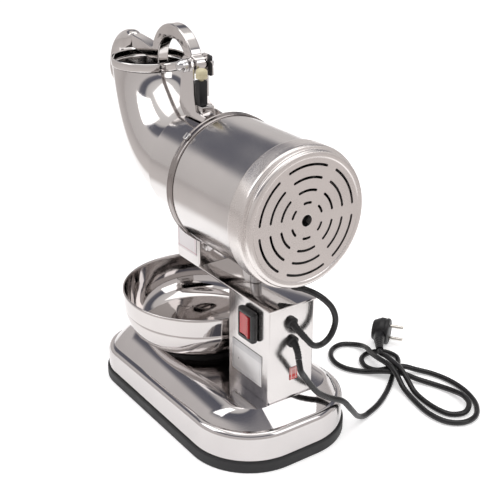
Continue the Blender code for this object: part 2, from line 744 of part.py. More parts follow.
def make_lever():
    cast = material("lever_casting", (0.7, 0.69, 0.68), 0.2, 1.0)
    sides = 16
    bore = (BOLT_RADIUS + RUNNING_GAP) / math.cos(math.pi / sides)
    outlines = [lever_outline(), circle(HINGE_Y, HINGE_Z, bore, sides)]
    lever = flat("pusher_lever", cast, outlines, "YZ", 0, 2 * LEVER_HALF_WIDTH)
    round_edges(lever, 1.6, 2)
    loft("lever_grip", material("grip_casting", (0.74, 0.72, 0.71), 0.18, 1.0), grip_sections())
    outline = [on_hinge_arc(79.5 + 14 * ease(i / 9), 191.6 + 69.0 * i / 9) for i in range(10)]
    foot = [on_hinge_arc(*at) for at in ((92, 258), (92, 260.8), (124, 260.8), (122, 258.5))]
    back = [on_hinge_arc(103.5 - 12.5 * ease(i / 9), 257.0 - 65.4 * i / 9) for i in range(10)]
    arm = flat("pusher_arm", cast, [outline[:9] + foot + back], "YZ", 0, 10)
    round_edges(arm, 1.2, 1)
    steel = brushed("pusher_steel")
    y, z = on_hinge_arc(PUSHER_ARC, PUSHER_ANGLE)
    tilt = (math.radians(PUSHER_ANGLE - 180), 0, 0)
    plate = cylinder("pusher_plate", steel, PUSHER_RADIUS, 4, (0, y, z), tilt, 36)
    round_edges(plate, 0.8, 1)
    y, z = on_hinge_arc(PUSHER_ARC - 5, PUSHER_ANGLE + 2.2)
    cylinder("pusher_screw", polished("pusher_screw_steel"), 6, 3.4, (0, y, z), tilt, 6)


def make_hinge():
    """A channel bracket on the chamber, the bolt that the lever turns on, and its nut."""
    steel = polished("bracket_steel")
    half, wall = BRACKET_HALF_WIDTH, 2.0
    foot_low, foot_high = FOOT_TOP - 5, FOOT_TOP
    top = 434.0
    channel = [
        (-half, foot_low), (half, foot_low), (half, top), (half - wall, top), (half - wall, foot_high),
        (-half + wall, foot_high), (-half + wall, top), (-half, top),
    ]
    bracket = flat("hinge_bracket", steel, [channel], "XZ", -5, 80)
    side = [(-10, 360), (31, 360), (31, 370), (12, 373), (8.5, 392), (7.5, 420)]
    side += arc(HINGE_Y, HINGE_Z, 11.5, 5, 175, 9) + [(-18.5, 412), (-24, 376), (-20, 369.5)]
    boolean(bracket, flat("bracket_side", steel, [side], "YZ", 0, 40), "INTERSECT")
    waist = [(-3, 411), (-3, 384), (12.5, 372.6), (40, 372.6), (40, 411)]
    boolean(bracket, flat("flange_waist", steel, [waist], "YZ", wall / 2 - half, wall + 2))
    bolt_hole = cylinder("bolt_hole", steel, BOLT_RADIUS + GAP, 60, (0, HINGE_Y, HINGE_Z), along_x(), 16)
    boolean(bracket, bolt_hole)
    bolt_length = 2 * half + 4.5
    cylinder(
        "hinge_bolt", polished("bolt_steel"), BOLT_RADIUS, bolt_length,
        (-half - 0.3 + bolt_length / 2, HINGE_Y, HINGE_Z), along_x(), 16,
    )
    cylinder("bolt_head", polished("head_steel"), 7.5, 5, (-half - 3.1, HINGE_Y, HINGE_Z), along_x(), 6)
    turned(
        "acorn_nut", polished("nut_polish"),
        [
            (0, 13.5), (3.2, 12.9), (5.4, 11), (6.6, 8), (7.0, 5.5), (7.6, 5), (7.6, 0.4), (7, 0), (4.3, 0),
            (4.3, 5), (0, 5),
        ],
        20, (half + GAP, HINGE_Y, HINGE_Z), along_x(), ring=False,
    )
    for name, x in (("hinge_spacer_left", -11.7), ("hinge_spacer_right", 7.8)):
        spacer = [(7.5, 3.9), (7.5, 0), (BOLT_RADIUS + GAP, 0), (BOLT_RADIUS + GAP, 3.9)]
        turned(name, steel, spacer, 20, (x, HINGE_Y, HINGE_Z), along_x())


def make_safety_switch():
    """The microswitch that the raised lever presses, on its stand, and the stop beside the lever's hub."""
    black = black_plastic("boot_rubber")
    x, y = PLUNGER_AT
    body = box("micro_switch", black, (0.5, 6.7, 380), (11.5, 17, 409), 0.8)
    boolean(body, cylinder("plunger_bore", black, 2.8, 14, (x, y, 409), sides=16))
    box("switch_stand", polished("stand_steel"), (-5, 7.2, FOOT_TOP + GAP), (11, 22, 379.7), 0.4)
    cream = material("plunger_cream", (0.78, 0.73, 0.55), 0.45, 0.0)
    profile = [(0, 11.5), (4, 11.2), (6.2, 9.8), (6.9, 7.2), (6.9, 0), (2.5, 0), (2.5, -6.5), (0, -6.5)]
    turned("switch_plunger", cream, profile, 20, (x, y, 411.5), ring=False)
    box("lever_stop", black, (-11.7, 2.8, 411), (-8.2, 9.5, 435), 1.2)
    cylinder("stop_screw", brushed("stop_screw_steel"), 1.6, 2, (-9.95, 10.8, 428), along_y(), 12)


# ---------------------------------------------------------------- bowl

def make_bowl():
    """A thick two-skin bowl standing on a rubber foot ring."""
    rim, top = BOWL_RIM_RADIUS, BOWL_RIM_Z
    profile = [
        (0, 82), (50, 82.6), (70, 84.5), (80, 89), (87, 96.5), (91.8, 106), (94.8, 118), (96.5, 130),
        (97.2, top),
        (rim - 1.0, top), (rim, top - 0.9), (rim - 0.1, top - 5), (98.2, 120), (96, 106), (92, 95), (88, 88),
        (82, 82.5), (72, 79.3), (66, BOWL_BOTTOM), (0, BOWL_BOTTOM),
    ]
    turned("bowl", polished("bowl_steel"), profile, 48, (0, BOWL_Y, 0), ring=False)
    high, low = BOWL_BOTTOM - GAP, PLATEAU_Z + GAP
    rubber = material("foot_rubber", (0.02, 0.02, 0.02), 0.7, 0.0)
    turned("bowl_foot", rubber, [(66, high), (65, low), (59, low), (59, high)], 40, (0, BOWL_Y, 0))


# ---------------------------------------------------------------- cords, glands and plug

def smooth_route(points, spacing):
    """Evenly spaced points on a Catmull-Rom curve through a route, whose two end stretches stay straight."""
    path = [Vector(point) for point in points]
    dense = []
    for a, b, c, d in zip(path, path[1:], path[2:], path[3:]):
        for step in range(16):
            t = step / 16
            bend = (2 * a - 5 * b + 4 * c - d) * t * t + (3 * b - a - 3 * c + d) * t ** 3
            dense.append(0.5 * (2 * b + (c - a) * t + bend))
    dense.append(path[-2])
    lengths = [0.0]
    for a, b in zip(dense, dense[1:]):
        lengths.append(lengths[-1] + (b - a).length)
    count = round(lengths[-1] / spacing)
    even = []
    k = 0
    for i in range(count + 1):
        goal = lengths[-1] * i / count
        while k < len(lengths) - 2 and lengths[k + 1] < goal:
            k += 1
        t = (goal - lengths[k]) / (lengths[k + 1] - lengths[k])
        point = dense[k].lerp(dense[k + 1], t)
        point.z = max(point.z, CORD_REST_Z)
        even.append(point)
    return [path[0], *even, path[-1]]


def make_boot(name, x, z, bend, look):
    """A strain relief: a flange on the column's rear face and a boot that tapers along its bend."""
    face = COLUMN_REAR
    steps = (-4, 0.29, 0.3, 3, 3.01)
    points = [(x, face + step, z) for step in steps] + list(bend)
    radii = [5.9, 5.9, 7.3, 7.3, 5.7, 5.4, 5.0, BOOT_END_RADIUS]
    as_mesh(rod(name, look, points, radii, sides=12))


def leaving(holder, reach):
    """The first two points of a cord that leaves a boot or a gland along its last stretch."""
    end = Vector(holder[-1])
    way = (end - Vector(holder[-2])).normalized()
    return [end + way * GAP, end + way * reach]


def make_cords():
    black = black_plastic("cord_black")
    make_boot("lead_strain_relief", 0.9, 170.0, LEAD_BOOT, black)
    make_boot("mains_strain_relief", -0.5, 145.5, MAINS_BOOT, black)
    as_mesh(rod("motor_gland", black, MOTOR_GLAND, [6.6, 6.2, 5.4, 4.9], sides=12))
    radius = CORD_DIAMETER / 2
    lead = leaving(LEAD_BOOT, 9) + list(LEAD_ROUTE) + leaving(MOTOR_GLAND, 8)[::-1]
    rod("motor_lead", black, smooth_route(lead, 10), radius)
    mains = leaving(MAINS_BOOT, 12) + list(MAINS_ROUTE) + leaving(PLUG_NECK, 8)[::-1]
    rod("mains_cord", black, smooth_route(mains, 20), radius)


def make_plug():
    """An angled plug: a round body on its edge, a side neck that the cord enters, and two level pins."""
    black = black_plastic("plug_black")
    face = Vector(PLUG_FACE)
    heading = Vector((math.cos(PLUG_HEADING), math.sin(PLUG_HEADING), 0))
    rim, back = PLUG_RADIUS, -PLUG_LENGTH
    profile = [(0, 0), (17, 0), (rim, -1.5), (rim, -13), (13.5, back), (0, back)]
    level = (0, math.radians(90), PLUG_HEADING)
    body = turned("plug_body", black, profile, 24, face, level, ring=False)
    middle = face - heading * 11
    neck = [middle, *PLUG_NECK]
    boolean(body, as_mesh(rod("plug_neck", black, neck, [9.5, 8.8, 7.2, 5.4], sides=14)), "UNION")
    brass = polished("pin_nickel")
    for i, rise in enumerate((-0.5, 0.5)):
        middle = face + heading * (PIN_LENGTH / 2 + GAP) + Vector((0, 0, rise * PIN_SPACING))
        pin = cylinder(f"plug_pin_{i + 1}", brass, PIN_RADIUS, PIN_LENGTH, middle, level, 16)
        round_edges(pin, 0.7, 1)


def main():
    global PARTS, CUTTERS
    clear_scene()
    PARTS = new_collection("shaved_ice_machine")
    CUTTERS = new_collection("cutters")
    make_base()
    make_column()
    make_capacitor()
    make_plates()
    make_switch()
    make_motor_casing()
    make_motor_inside()
    make_chamber()
    make_chute()
    make_elbow()
    make_lever()
    make_hinge()
    make_safety_switch()
    make_bowl()
    make_cords()
    make_plug()


main()
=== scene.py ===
"""The looks of the shaved ice machine: fine meshes, materials, cords, floor, light and camera.

Lengths are in millimetres and become metres in mm(). The hopper, grip and bowl face -Y, the vents +Y and
the switch +X.
"""

import json
import math

import bmesh
import bpy
from mathutils import Matrix, Vector


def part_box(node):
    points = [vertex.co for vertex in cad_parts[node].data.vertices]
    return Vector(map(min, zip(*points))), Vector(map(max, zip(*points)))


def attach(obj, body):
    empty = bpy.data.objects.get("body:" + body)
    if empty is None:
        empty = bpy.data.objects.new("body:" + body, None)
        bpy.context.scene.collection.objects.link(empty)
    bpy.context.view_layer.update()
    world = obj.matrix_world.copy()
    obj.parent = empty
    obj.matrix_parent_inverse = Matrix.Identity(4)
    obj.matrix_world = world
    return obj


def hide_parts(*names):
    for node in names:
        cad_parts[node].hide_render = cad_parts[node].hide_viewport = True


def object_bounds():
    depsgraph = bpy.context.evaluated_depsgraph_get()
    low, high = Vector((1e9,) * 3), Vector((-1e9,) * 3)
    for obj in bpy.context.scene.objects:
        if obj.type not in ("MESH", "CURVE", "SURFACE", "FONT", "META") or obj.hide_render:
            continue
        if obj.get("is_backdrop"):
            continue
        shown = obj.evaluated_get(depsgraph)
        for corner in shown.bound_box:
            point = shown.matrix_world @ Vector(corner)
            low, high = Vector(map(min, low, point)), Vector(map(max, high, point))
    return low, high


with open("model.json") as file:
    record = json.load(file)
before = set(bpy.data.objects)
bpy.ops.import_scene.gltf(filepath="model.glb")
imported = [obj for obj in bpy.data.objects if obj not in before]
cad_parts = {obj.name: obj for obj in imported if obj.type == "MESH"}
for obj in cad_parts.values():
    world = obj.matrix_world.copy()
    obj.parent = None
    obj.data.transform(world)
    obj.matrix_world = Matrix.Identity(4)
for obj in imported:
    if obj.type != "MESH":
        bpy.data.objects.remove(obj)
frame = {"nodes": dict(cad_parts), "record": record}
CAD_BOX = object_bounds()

NODES = frame["nodes"]
BODY_OF = {node: body for body, nodes in frame["record"]["behaviour"]["bodies"].items() for node in nodes}

STEPS = 144  # facets round a turned piece

# Base
BASE_HALF_WIDTH, BASE_FRONT, BASE_REAR = 102.0, -120.0, 216.0
BASE_FRONT_RADIUS, BASE_REAR_RADIUS = 58.0, 80.0
SKIRT_HEIGHT, SKIRT_WIDTH = 15.0, 14.0
PLATEAU_Z, PLATEAU_HALF_WIDTH, PLATEAU_FRONT, PLATEAU_REAR = 72.0, 62.0, -84.0, 189.0
SHOULDER_Z, SHOULDER_DROP = 51.0, 5.5

# Column
COLUMN_HALF_WIDTH, COLUMN_FRONT, COLUMN_REAR = 31.7, 106.0, 187.0
SWITCH_Y, SWITCH_Z = 152.0, 163.0
LEAD_HOLE, MAINS_HOLE = (0.9, 170.0), (-0.5, 145.5)  # (x, z) in the rear wall

# Motor and blade chamber
AXIS_Z = 300.7
HOUSING_RADIUS = 77.5
END_CAP_REAR = 209.0
VENT_RINGS = ((20.3, 11.45), (34.2, 18.5), (48.1, 21.4), (62.0, 23.0))  # radius, half the slot's angle
VENT_SLOT_WIDTH, VENT_SLOTS_IN_A_RING = 2.9, 6
CHAMBER_RADIUS = 62.8
CHUTE_FRONT, CHUTE_REAR = -7.0, 43.0

# Elbow, lever and hinge
HINGE_Y, HINGE_Z = -6.0, 424.0
MOUTH_Y, MOUTH_Z, RIM_HEIGHT, ELBOW_END_ANGLE = -117.5, 411.0, 10.5, 267.4
MOUTH_ARC, END_ARC = 113.0, 123.2
MOUTH_RADIUS, RIM_RADIUS, ELBOW_RADIUS = 46.6, 47.6, 60.2
LEVER_HALF_WIDTH, LEVER_BORE_RADIUS = 7.5, 4.06
GRIP_HALF_WIDTH, GRIP_ROOT_Y, GRIP_CENTRE = 11.5, -148.3, (-178.0, 410.0)

# Bowl
BOWL_Y, BOWL_RIM_RADIUS, BOWL_RIM_Z, BOWL_BOTTOM = -4.0, 99.2, 140.3, 78.6

# Cords and plug
CORD_DIAMETER, CORD_REST_Z, RIB_DEPTH = 7.2, 3.7, 0.35
PLUG_RADIUS, PLUG_LENGTH = 18.7, 24.0
PLUG_FACE = (-269.0, 67.3, 19.0)
PLUG_HEADING = math.radians(126.0)
MAINS_ROUTE = (
    (-4.5, 207, 107), (-14, 207, 93), (-26, 207, 78), (-44, 206.5, 64.5), (-64, 207.5, 53),
    (-83, 203, 31), (-100, 196, 12), (-118, 191, 3.8), (-146, 182, 3.8), (-172, 168, 3.8),
    (-195, 152, 3.8), (-215, 136, 3.8), (-236, 122, 3.8), (-248, 105, 3.8), (-243, 85.5, 3.8),
    (-224, 76, 3.8), (-204.5, 82.5, 3.8), (-195.5, 101, 3.8), (-200, 119.5, 5.5),
    (-212, 132.5, 11.2), (-229, 139, 11.2), (-245, 149, 5.5), (-258, 168, 3.8), (-264, 195, 3.8),
    (-262, 224, 3.8), (-251, 252, 3.8), (-231, 271, 3.8), (-208, 273, 3.8), (-191, 259, 3.8),
    (-186, 233, 3.8), (-191, 202, 3.8), (-198, 174, 6), (-203, 155, 14.5), (-205.5, 141, 18.9),
    (-207, 126, 18.9), (-209, 109, 17), (-214.5, 91, 13.4), (-221, 75, 11.3), (-225, 60, 7),
    (-220.5, 45.5, 4), (-206.5, 36, 3.8), (-189, 39, 3.8), (-175, 51.5, 3.8), (-168, 69, 3.8),
    (-169, 86, 3.8), (-176, 100, 3.8), (-187, 112.5, 4.2), (-196, 126.5, 8.5), (-205.5, 140, 11.4),
    (-216.5, 153, 11), (-229, 168, 5.6), (-241, 190, 3.8), (-247, 214, 5.5), (-245.5, 236, 9),
    (-240, 250.5, 7), (-224.5, 258.5, 4.4), (-208.5, 252, 3.8), (-202, 237, 3.8), (-201, 214, 3.8),
    (-205, 188, 4.5), (-209.5, 168, 12.5), (-213, 151, 18.9), (-215.5, 136, 19.3),
    (-218.5, 117, 19.4),
)
MAINS_BOOT = ((-0.1, 194.5, 143), (1.2, 200.3, 137.5), (2.4, 204, 131))
PLUG_NECK = ((-246, 71, 18.8), (-234, 84.5, 19), (-223, 98.2, 19.2))
LEAD_ROUTE = (
    (-17.5, 208.3, 144.2), (-28, 207.5, 142.7), (-38.5, 207, 147.6), (-45, 207, 158), (-46.5, 207, 170),
    (-42.5, 205.5, 183), (-34.5, 202, 194), (-25, 196, 202.5), (-15, 186, 207.5),
)
LEAD_BOOT = ((0.5, 194.5, 167.3), (-2.2, 200, 161.8), (-6, 204, 156))
MOTOR_GLAND = ((-5, 162.5, 219.4), (-5.4, 164.5, 216.6), (-5.5, 165, 216), (-6.6, 170.2, 212.7))

# Colours
WARM_STEEL = (0.66, 0.635, 0.625)
COOL_STEEL = (0.64, 0.63, 0.63)
BLACK = (0.007, 0.007, 0.008)


def mm(*values):
    scaled = [value * 0.001 for value in values]
    return scaled[0] if len(scaled) == 1 else Vector(scaled)


# ---------------------------------------------------------------- camera, light and floor

def make_camera():
    camera = bpy.data.cameras.new("photo_camera")
    camera.sensor_width = 36
    camera.lens = 72.14
    camera.shift_x = -0.0476
    camera.shift_y = 0.0114
    camera.clip_start = 0.05
    camera.clip_end = 40
    forward = Vector((-0.543, -0.7292, -0.4165)).normalized()
    up = Vector((-0.8066, 0.5909, 0.0172)).cross(forward).normalized()
    right = forward.cross(up)
    holder = bpy.data.objects.new("photo_camera", camera)
    turn = Matrix((right, up, -forward)).transposed().to_4x4()
    holder.matrix_world = Matrix.Translation((0.6104, 0.9698, 0.7065)) @ turn
    bpy.context.scene.collection.objects.link(holder)
    bpy.context.scene.camera = holder


def softbox(name, location, size, energy):
    """A rectangular studio light that faces the middle of the machine."""
    light = bpy.data.lights.new(name, "AREA")
    light.shape = "RECTANGLE"
    light.size, light.size_y = size
    light.energy = energy
    holder = bpy.data.objects.new(name, light)
    holder.location = location
    aim = Vector((0, 0.05, 0.2)) - Vector(location)
    holder.rotation_euler = aim.to_track_quat("-Z", "Y").to_euler()
    bpy.context.scene.collection.objects.link(holder)


def make_world():
    """A studio room: pale walls, a darker ceiling edge and a bright ceiling over the machine."""
    world = bpy.data.worlds.new("studio")
    bpy.context.scene.world = world
    world.use_nodes = True
    nodes, links = world.node_tree.nodes, world.node_tree.links
    where = nodes.new("ShaderNodeTexCoord")
    split = nodes.new("ShaderNodeSeparateXYZ")
    ramp = nodes.new("ShaderNodeValToRGB")
    links.new(where.outputs["Generated"], split.inputs[0])
    links.new(split.outputs["Z"], ramp.inputs["Fac"])
    links.new(ramp.outputs["Color"], nodes["Background"].inputs["Color"])
    stops = (
        (0.0, (0.68, 0.65, 0.64)), (0.42, (0.76, 0.73, 0.72)), (0.5, (0.18, 0.18, 0.21)),
        (0.65, (0.13, 0.135, 0.17)), (0.71, (0.75, 0.73, 0.72)), (0.9, (0.9, 0.88, 0.87)),
    )
    elements = ramp.color_ramp.elements
    while len(elements) < len(stops):
        elements.new(0.5)
    for element, (position, colour) in zip(elements, stops):
        element.position = position
        element.color = (*colour, 1)
    nodes["Background"].inputs["Strength"].default_value = 1.0


def make_floor():
    """A round sheet of paper, lit a little from within, with painted shade that makes it darker towards the
    camera and at the sides.
    """
    mesh = bpy.data.meshes.new("floor")
    shape = bmesh.new()
    bmesh.ops.create_circle(shape, cap_ends=True, segments=96, radius=9)
    shape.to_mesh(mesh)
    shape.free()
    floor = bpy.data.objects.new("floor", mesh)
    floor.location.z = -0.0002
    look = Look("floor_paper", Roughness=0.7, Emission_Strength=0.45)
    x, y, _ = look.axes()
    # near grows along the floor towards the camera, and side is the distance from the middle of its view
    near = look.math("ADD", look.math("MULTIPLY", x, 0.597), look.math("MULTIPLY", y, 0.802))
    side = look.math("ADD", look.math("MULTIPLY", x, -0.807), look.math("MULTIPLY", y, 0.591))
    side = look.math("ABSOLUTE", look.math("SUBTRACT", side, 0.06), 0)
    half = look.math("MULTIPLY", look.math("SUBTRACT", 1.3, near), 0.34)
    # painted shade: the floor's colour turns from white to a darker beige outside the camera's view, so the
    # steel reflects a dimmer room
    in_front = look.span(near, 0, 1, 0.42, 0.58)
    beside = look.span(look.math("SUBTRACT", side, half), 0, 1, 0, 0.16)
    shade = look.math("MAXIMUM", in_front, beside)
    paper = look.colours(shade, (0.94, 0.94, 0.94), (0.5, 0.475, 0.465))
    look.use("Base Color", paper)
    look.use("Emission Color", paper)
    look.bump(look.noise(350, 3), 0.02)
    mesh.materials.append(look.material)
    bpy.context.scene.collection.objects.link(floor)
    floor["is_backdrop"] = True


def make_stage():
    bpy.context.scene.view_settings.view_transform = "Standard"
    make_camera()
    make_world()
    make_floor()
    softbox("key_left", (1.5, -0.6, 1.7), (1.2, 1.2), 10)
    softbox("fill_right", (-0.9, 1.9, 1.6), (1.3, 1.0), 8)
    softbox("top", (-0.1, 0.1, 2.2), (1.8, 1.8), 12)


# ---------------------------------------------------------------- materials

class Look:
    """A Principled material whose colour, roughness and bump come from noise in object space."""

    def __init__(self, name, **sockets):
        self.material = bpy.data.materials.new(name)
        self.material.use_nodes = True
        self.nodes = self.material.node_tree.nodes
        self.links = self.material.node_tree.links
        self.shader = self.nodes["Principled BSDF"]
        self.coordinates = self.nodes.new("ShaderNodeTexCoord").outputs["Object"]
        for socket, value in sockets.items():
            self.shader.inputs[socket.replace("_", " ")].default_value = value

    def axes(self):
        split = self.nodes.new("ShaderNodeSeparateXYZ")
        self.links.new(self.coordinates, split.inputs[0])
        return split.outputs

    def noise(self, scale, detail, stretch=(1, 1, 1)):
        """A noise with this many cells to the metre, drawn out along an axis by a small stretch value."""
        mapping = self.nodes.new("ShaderNodeMapping")
        mapping.inputs["Scale"].default_value = stretch
        texture = self.nodes.new("ShaderNodeTexNoise")
        texture.inputs["Scale"].default_value = scale
        texture.inputs["Detail"].default_value = detail
        self.links.new(self.coordinates, mapping.inputs["Vector"])
        self.links.new(mapping.outputs["Vector"], texture.inputs["Vector"])
        return texture.outputs["Fac"]

    def span(self, source, low, high, start=0.3, end=0.7):
        """The source's values from start to end spread over low to high."""
        node = self.nodes.new("ShaderNodeMapRange")
        limits = {"From Min": start, "From Max": end, "To Min": low, "To Max": high}
        for name, value in limits.items():
            node.inputs[name].default_value = value
        self.links.new(source, node.inputs["Value"])
        return node.outputs["Result"]

    def math(self, operation, a, b):
        node = self.nodes.new("ShaderNodeMath")
        node.operation = operation
        for socket, value in zip(node.inputs, (a, b)):
            if isinstance(value, (int, float)):
                socket.default_value = value
            else:
                self.links.new(value, socket)
        return node.outputs[0]

    def colours(self, source, low, high):
        node = self.nodes.new("ShaderNodeMix")
        node.data_type = "RGBA"
        node.inputs["A"].default_value = (*low, 1)
        node.inputs["B"].default_value = (*high, 1)
        self.links.new(source, node.inputs["Factor"])
        return node.outputs["Result"]

    def use(self, socket, source):
        self.links.new(source, self.shader.inputs[socket])

    def bump(self, source, distance_mm, strength=1.0):
        node = self.nodes.new("ShaderNodeBump")
        node.inputs["Distance"].default_value = mm(distance_mm)
        node.inputs["Strength"].default_value = strength
        self.links.new(source, node.inputs["Height"])
        self.use("Normal", node.outputs["Normal"])


def steel(name, tone, rough, grain, grain_mm, dents_mm):
    """Sheet or turned steel: a fine directional grain, hand smudges and slight waviness."""
    look = Look(name, Metallic=1.0)
    smudge = look.noise(14, 5)
    lines = look.noise(900, 3, grain)
    dull = tuple(value * 0.93 for value in tone)
    look.use("Base Color", look.colours(look.span(smudge, 0, 1), tone, dull))
    wiped = look.span(smudge, rough[0], rough[1])
    look.use("Roughness", look.math("ADD", wiped, look.span(lines, 0, (rough[1] - rough[0]) * 0.6)))
    height = look.span(lines, 0, 1)
    if dents_mm:
        waves = look.span(look.noise(9, 1), 0, dents_mm / grain_mm)
        height = look.math("ADD", height, waves)
    look.bump(height, grain_mm)
    return look.material


def brushed_round(material):
    """Turning marks in circles about the motor's axis stretch the highlights into a fan."""
    nodes = material.node_tree.nodes
    tangent = nodes.new("ShaderNodeTangent")
    tangent.direction_type = "RADIAL"
    tangent.axis = "Y"
    shader = nodes["Principled BSDF"]
    shader.inputs["Anisotropic"].default_value = 0.75
    material.node_tree.links.new(tangent.outputs["Tangent"], shader.inputs["Tangent"])


def casting(name, tone, rough, pores_mm):
    """Cast metal: polished or raw, with pores and a patchy sheen."""
    look = Look(name, Metallic=1.0)
    patches = look.noise(30, 6)
    pores = look.noise(700, 6)
    dull = tuple(value * 0.86 for value in tone)
    look.use("Base Color", look.colours(look.span(patches, 0, 1), tone, dull))
    look.use("Roughness", look.span(patches, rough[0], rough[1]))
    look.bump(pores, pores_mm)
    return look.material


def rubber(name, tone, rough, grain=1400, grain_mm=0.05):
    """Rubber or soft plastic: fine pebbled grain with dusty, duller patches."""
    look = Look(name, Specular_IOR_Level=0.45)
    dust = look.noise(40, 6)
    pebbles = look.noise(grain, 2)
    dusty = tuple(value * 1.6 + 0.002 for value in tone)
    look.use("Base Color", look.colours(look.span(dust, 0, 1, 0.45, 0.8), tone, dusty))
    look.use("Roughness", look.span(dust, rough[0], rough[1]))
    look.bump(pebbles, grain_mm, 0.5)
    return look.material


def plastic(name, tone, rough, coat=0.0, grain_mm=0.02):
    """Moulded plastic: faint orange peel and a slightly uneven sheen."""
    look = Look(name, Coat_Weight=coat, Coat_Roughness=0.08)
    flow = look.noise(60, 3)
    peel = look.noise(900, 2)
    shade = tuple(value * 0.88 for value in tone)
    look.use("Base Color", look.colours(look.span(flow, 0, 1), tone, shade))
    look.use("Roughness", look.span(flow, rough[0], rough[1]))
    look.bump(peel, grain_mm, 0.4)
    return look.material


def laminated(name):
    """A stack of thin steel sheets across the motor's axis, under dark varnish."""
    look = Look(name, Metallic=0.7)
    wave = look.nodes.new("ShaderNodeTexWave")
    wave.bands_direction = "Y"
    wave.inputs["Scale"].default_value = 320
    look.links.new(look.coordinates, wave.inputs["Vector"])
    stack = wave.outputs["Fac"]
    varnish = look.noise(50, 4)
    look.use("Base Color", look.colours(stack, (0.09, 0.085, 0.09), (0.2, 0.2, 0.215)))
    look.use("Roughness", look.span(varnish, 0.3, 0.55))
    look.bump(stack, 0.1)
    return look.material


def printed_film(name, tone, print_tone, low, high, axes, metallic=0.0, rough=(0.3, 0.42)):
    """A blank label: a thin printed frame and a band across its top, on film with a faint grain."""
    look = Look(name, Metallic=metallic)
    position = look.axes()
    ink = None
    for axis in axes:
        middle, half = (low[axis] + high[axis]) / 2, (high[axis] - low[axis]) / 2
        offset = look.math("SUBTRACT", position[axis], middle)
        distance = look.math("SUBTRACT", look.math("ABSOLUTE", offset, 0.0), half - mm(2.6))
        edge = look.math("LESS_THAN", look.math("ABSOLUTE", distance, 0.0), mm(0.35))
        ink = edge if ink is None else look.math("MAXIMUM", ink, edge)
    band = look.math("GREATER_THAN", position[2], high[2] - mm(9))
    ink = look.math("MAXIMUM", ink, look.math("MULTIPLY", band, 0.45))
    wear = look.span(look.noise(300, 5), 0.75, 1.0)
    look.use("Base Color", look.colours(look.math("MULTIPLY", ink, wear), tone, print_tone))
    look.use("Roughness", look.span(look.noise(40, 4), rough[0], rough[1]))
    look.bump(look.noise(500, 3, (1, 1, 0.1)), 0.01)
    return look.material


STEELS = {
    # look: material, tone, least and most roughness, stretch of the grain, depths of grain and dents in mm
    "base": ("base_mirror", (0.6, 0.575, 0.57), (0.04, 0.11), (0.06, 1, 1), 0.004, 0.05),
    "column": ("column_steel", WARM_STEEL, (0.1, 0.2), (1, 1, 0.03), 0.004, 0.03),
    "sheet": ("sheet_mirror", WARM_STEEL, (0.04, 0.1), (1, 0.05, 1), 0.004, 0.02),
    "housing": ("housing_brushed", WARM_STEEL, (0.1, 0.19), (1, 0.6, 1), 0.006, 0.03),
    "cap": ("cap_satin", (0.74, 0.7, 0.68), (0.16, 0.27), (0.3, 1, 1), 0.002, 0),
    "rim": ("rim_mirror", (0.7, 0.675, 0.66), (0.02, 0.06), (1, 1, 0.2), 0.002, 0),
    "clamp": ("clamp_steel", (0.34, 0.31, 0.3), (0.06, 0.13), (1, 0.5, 1), 0.004, 0),
    "band": ("band_mirror", WARM_STEEL, (0.05, 0.12), (1, 0.5, 1), 0.004, 0),
    "elbow": ("elbow_mirror", WARM_STEEL, (0.03, 0.1), (0.4, 1, 0.1), 0.004, 0.05),
    "bowl": ("bowl_mirror", (0.6, 0.57, 0.56), (0.02, 0.06), (1, 1, 0.15), 0.002, 0),
    "brushed": ("plain_brushed", COOL_STEEL, (0.22, 0.36), (1, 1, 0.04), 0.012, 0),
    "hard": ("ground_steel", COOL_STEEL, (0.12, 0.22), (1, 0.2, 1), 0.006, 0),
    "fastener": ("fastener_steel", COOL_STEEL, (0.09, 0.2), (1, 1, 1), 0.004, 0),
    "pins": ("nickel_pins", (0.74, 0.71, 0.66), (0.1, 0.22), (1, 1, 1), 0.004, 0),
}


def make_looks():
    looks = {key: steel(*row) for key, row in STEELS.items()}
    brushed_round(looks["cap"])
    plate, label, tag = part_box("rating_plate"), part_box("chute_plate"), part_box("inspection_tag")
    looks.update({
        "cast": casting("polished_casting", (0.68, 0.65, 0.635), (0.05, 0.15), 0.008),
        "bell": casting("raw_casting", (0.5, 0.5, 0.5), (0.45, 0.65), 0.08),
        "laminated": laminated("laminations"),
        "skirt": rubber("skirt_rubber", (0.011, 0.011, 0.012), (0.5, 0.68)),
        "cord": rubber("cord_rubber", BLACK, (0.2, 0.34), 1800, 0.02),
        "boot": rubber("boot_rubber", BLACK, (0.35, 0.5)),
        "black": plastic("black_plastic", (0.01, 0.01, 0.011), (0.2, 0.34)),
        "red": plastic("rocker_red", (0.5, 0.03, 0.035), (0.16, 0.26), 0.4),
        "cream": plastic("plunger_cream", (0.66, 0.6, 0.4), (0.35, 0.5), 0.0, 0.05),
        "plate": printed_film(
            "rating_film", (0.66, 0.65, 0.65), (0.34, 0.34, 0.36), *plate, (1, 2), 0.55, (0.26, 0.4),
        ),
        "label": printed_film("label_film", (0.84, 0.81, 0.82), (0.62, 0.3, 0.34), *label, (1, 2)),
        "tag": printed_film("tag_film", (0.6, 0.05, 0.045), (0.78, 0.7, 0.68), *tag, (0, 2)),
    })
    return looks


# ---------------------------------------------------------------- modelling helpers

def place(name, data, look, location=(0, 0, 0), rotation=(0, 0, 0)):
    obj = bpy.data.objects.new(name, data)
    obj.location = mm(*location)
    obj.rotation_euler = rotation
    data.materials.append(look)
    bpy.context.scene.collection.objects.link(obj)
    return obj


def stand_for(obj, node):
    """The piece takes the body of the CAD node that it replaces, and that node is hidden."""
    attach(obj, BODY_OF[node])
    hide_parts(node)
    return obj


def split_sharp(obj, angle=35):
    modifier = obj.modifiers.new("SplitSharp", "EDGE_SPLIT")
    modifier.split_angle = math.radians(angle)
    modifier.use_edge_sharp = False
    return obj


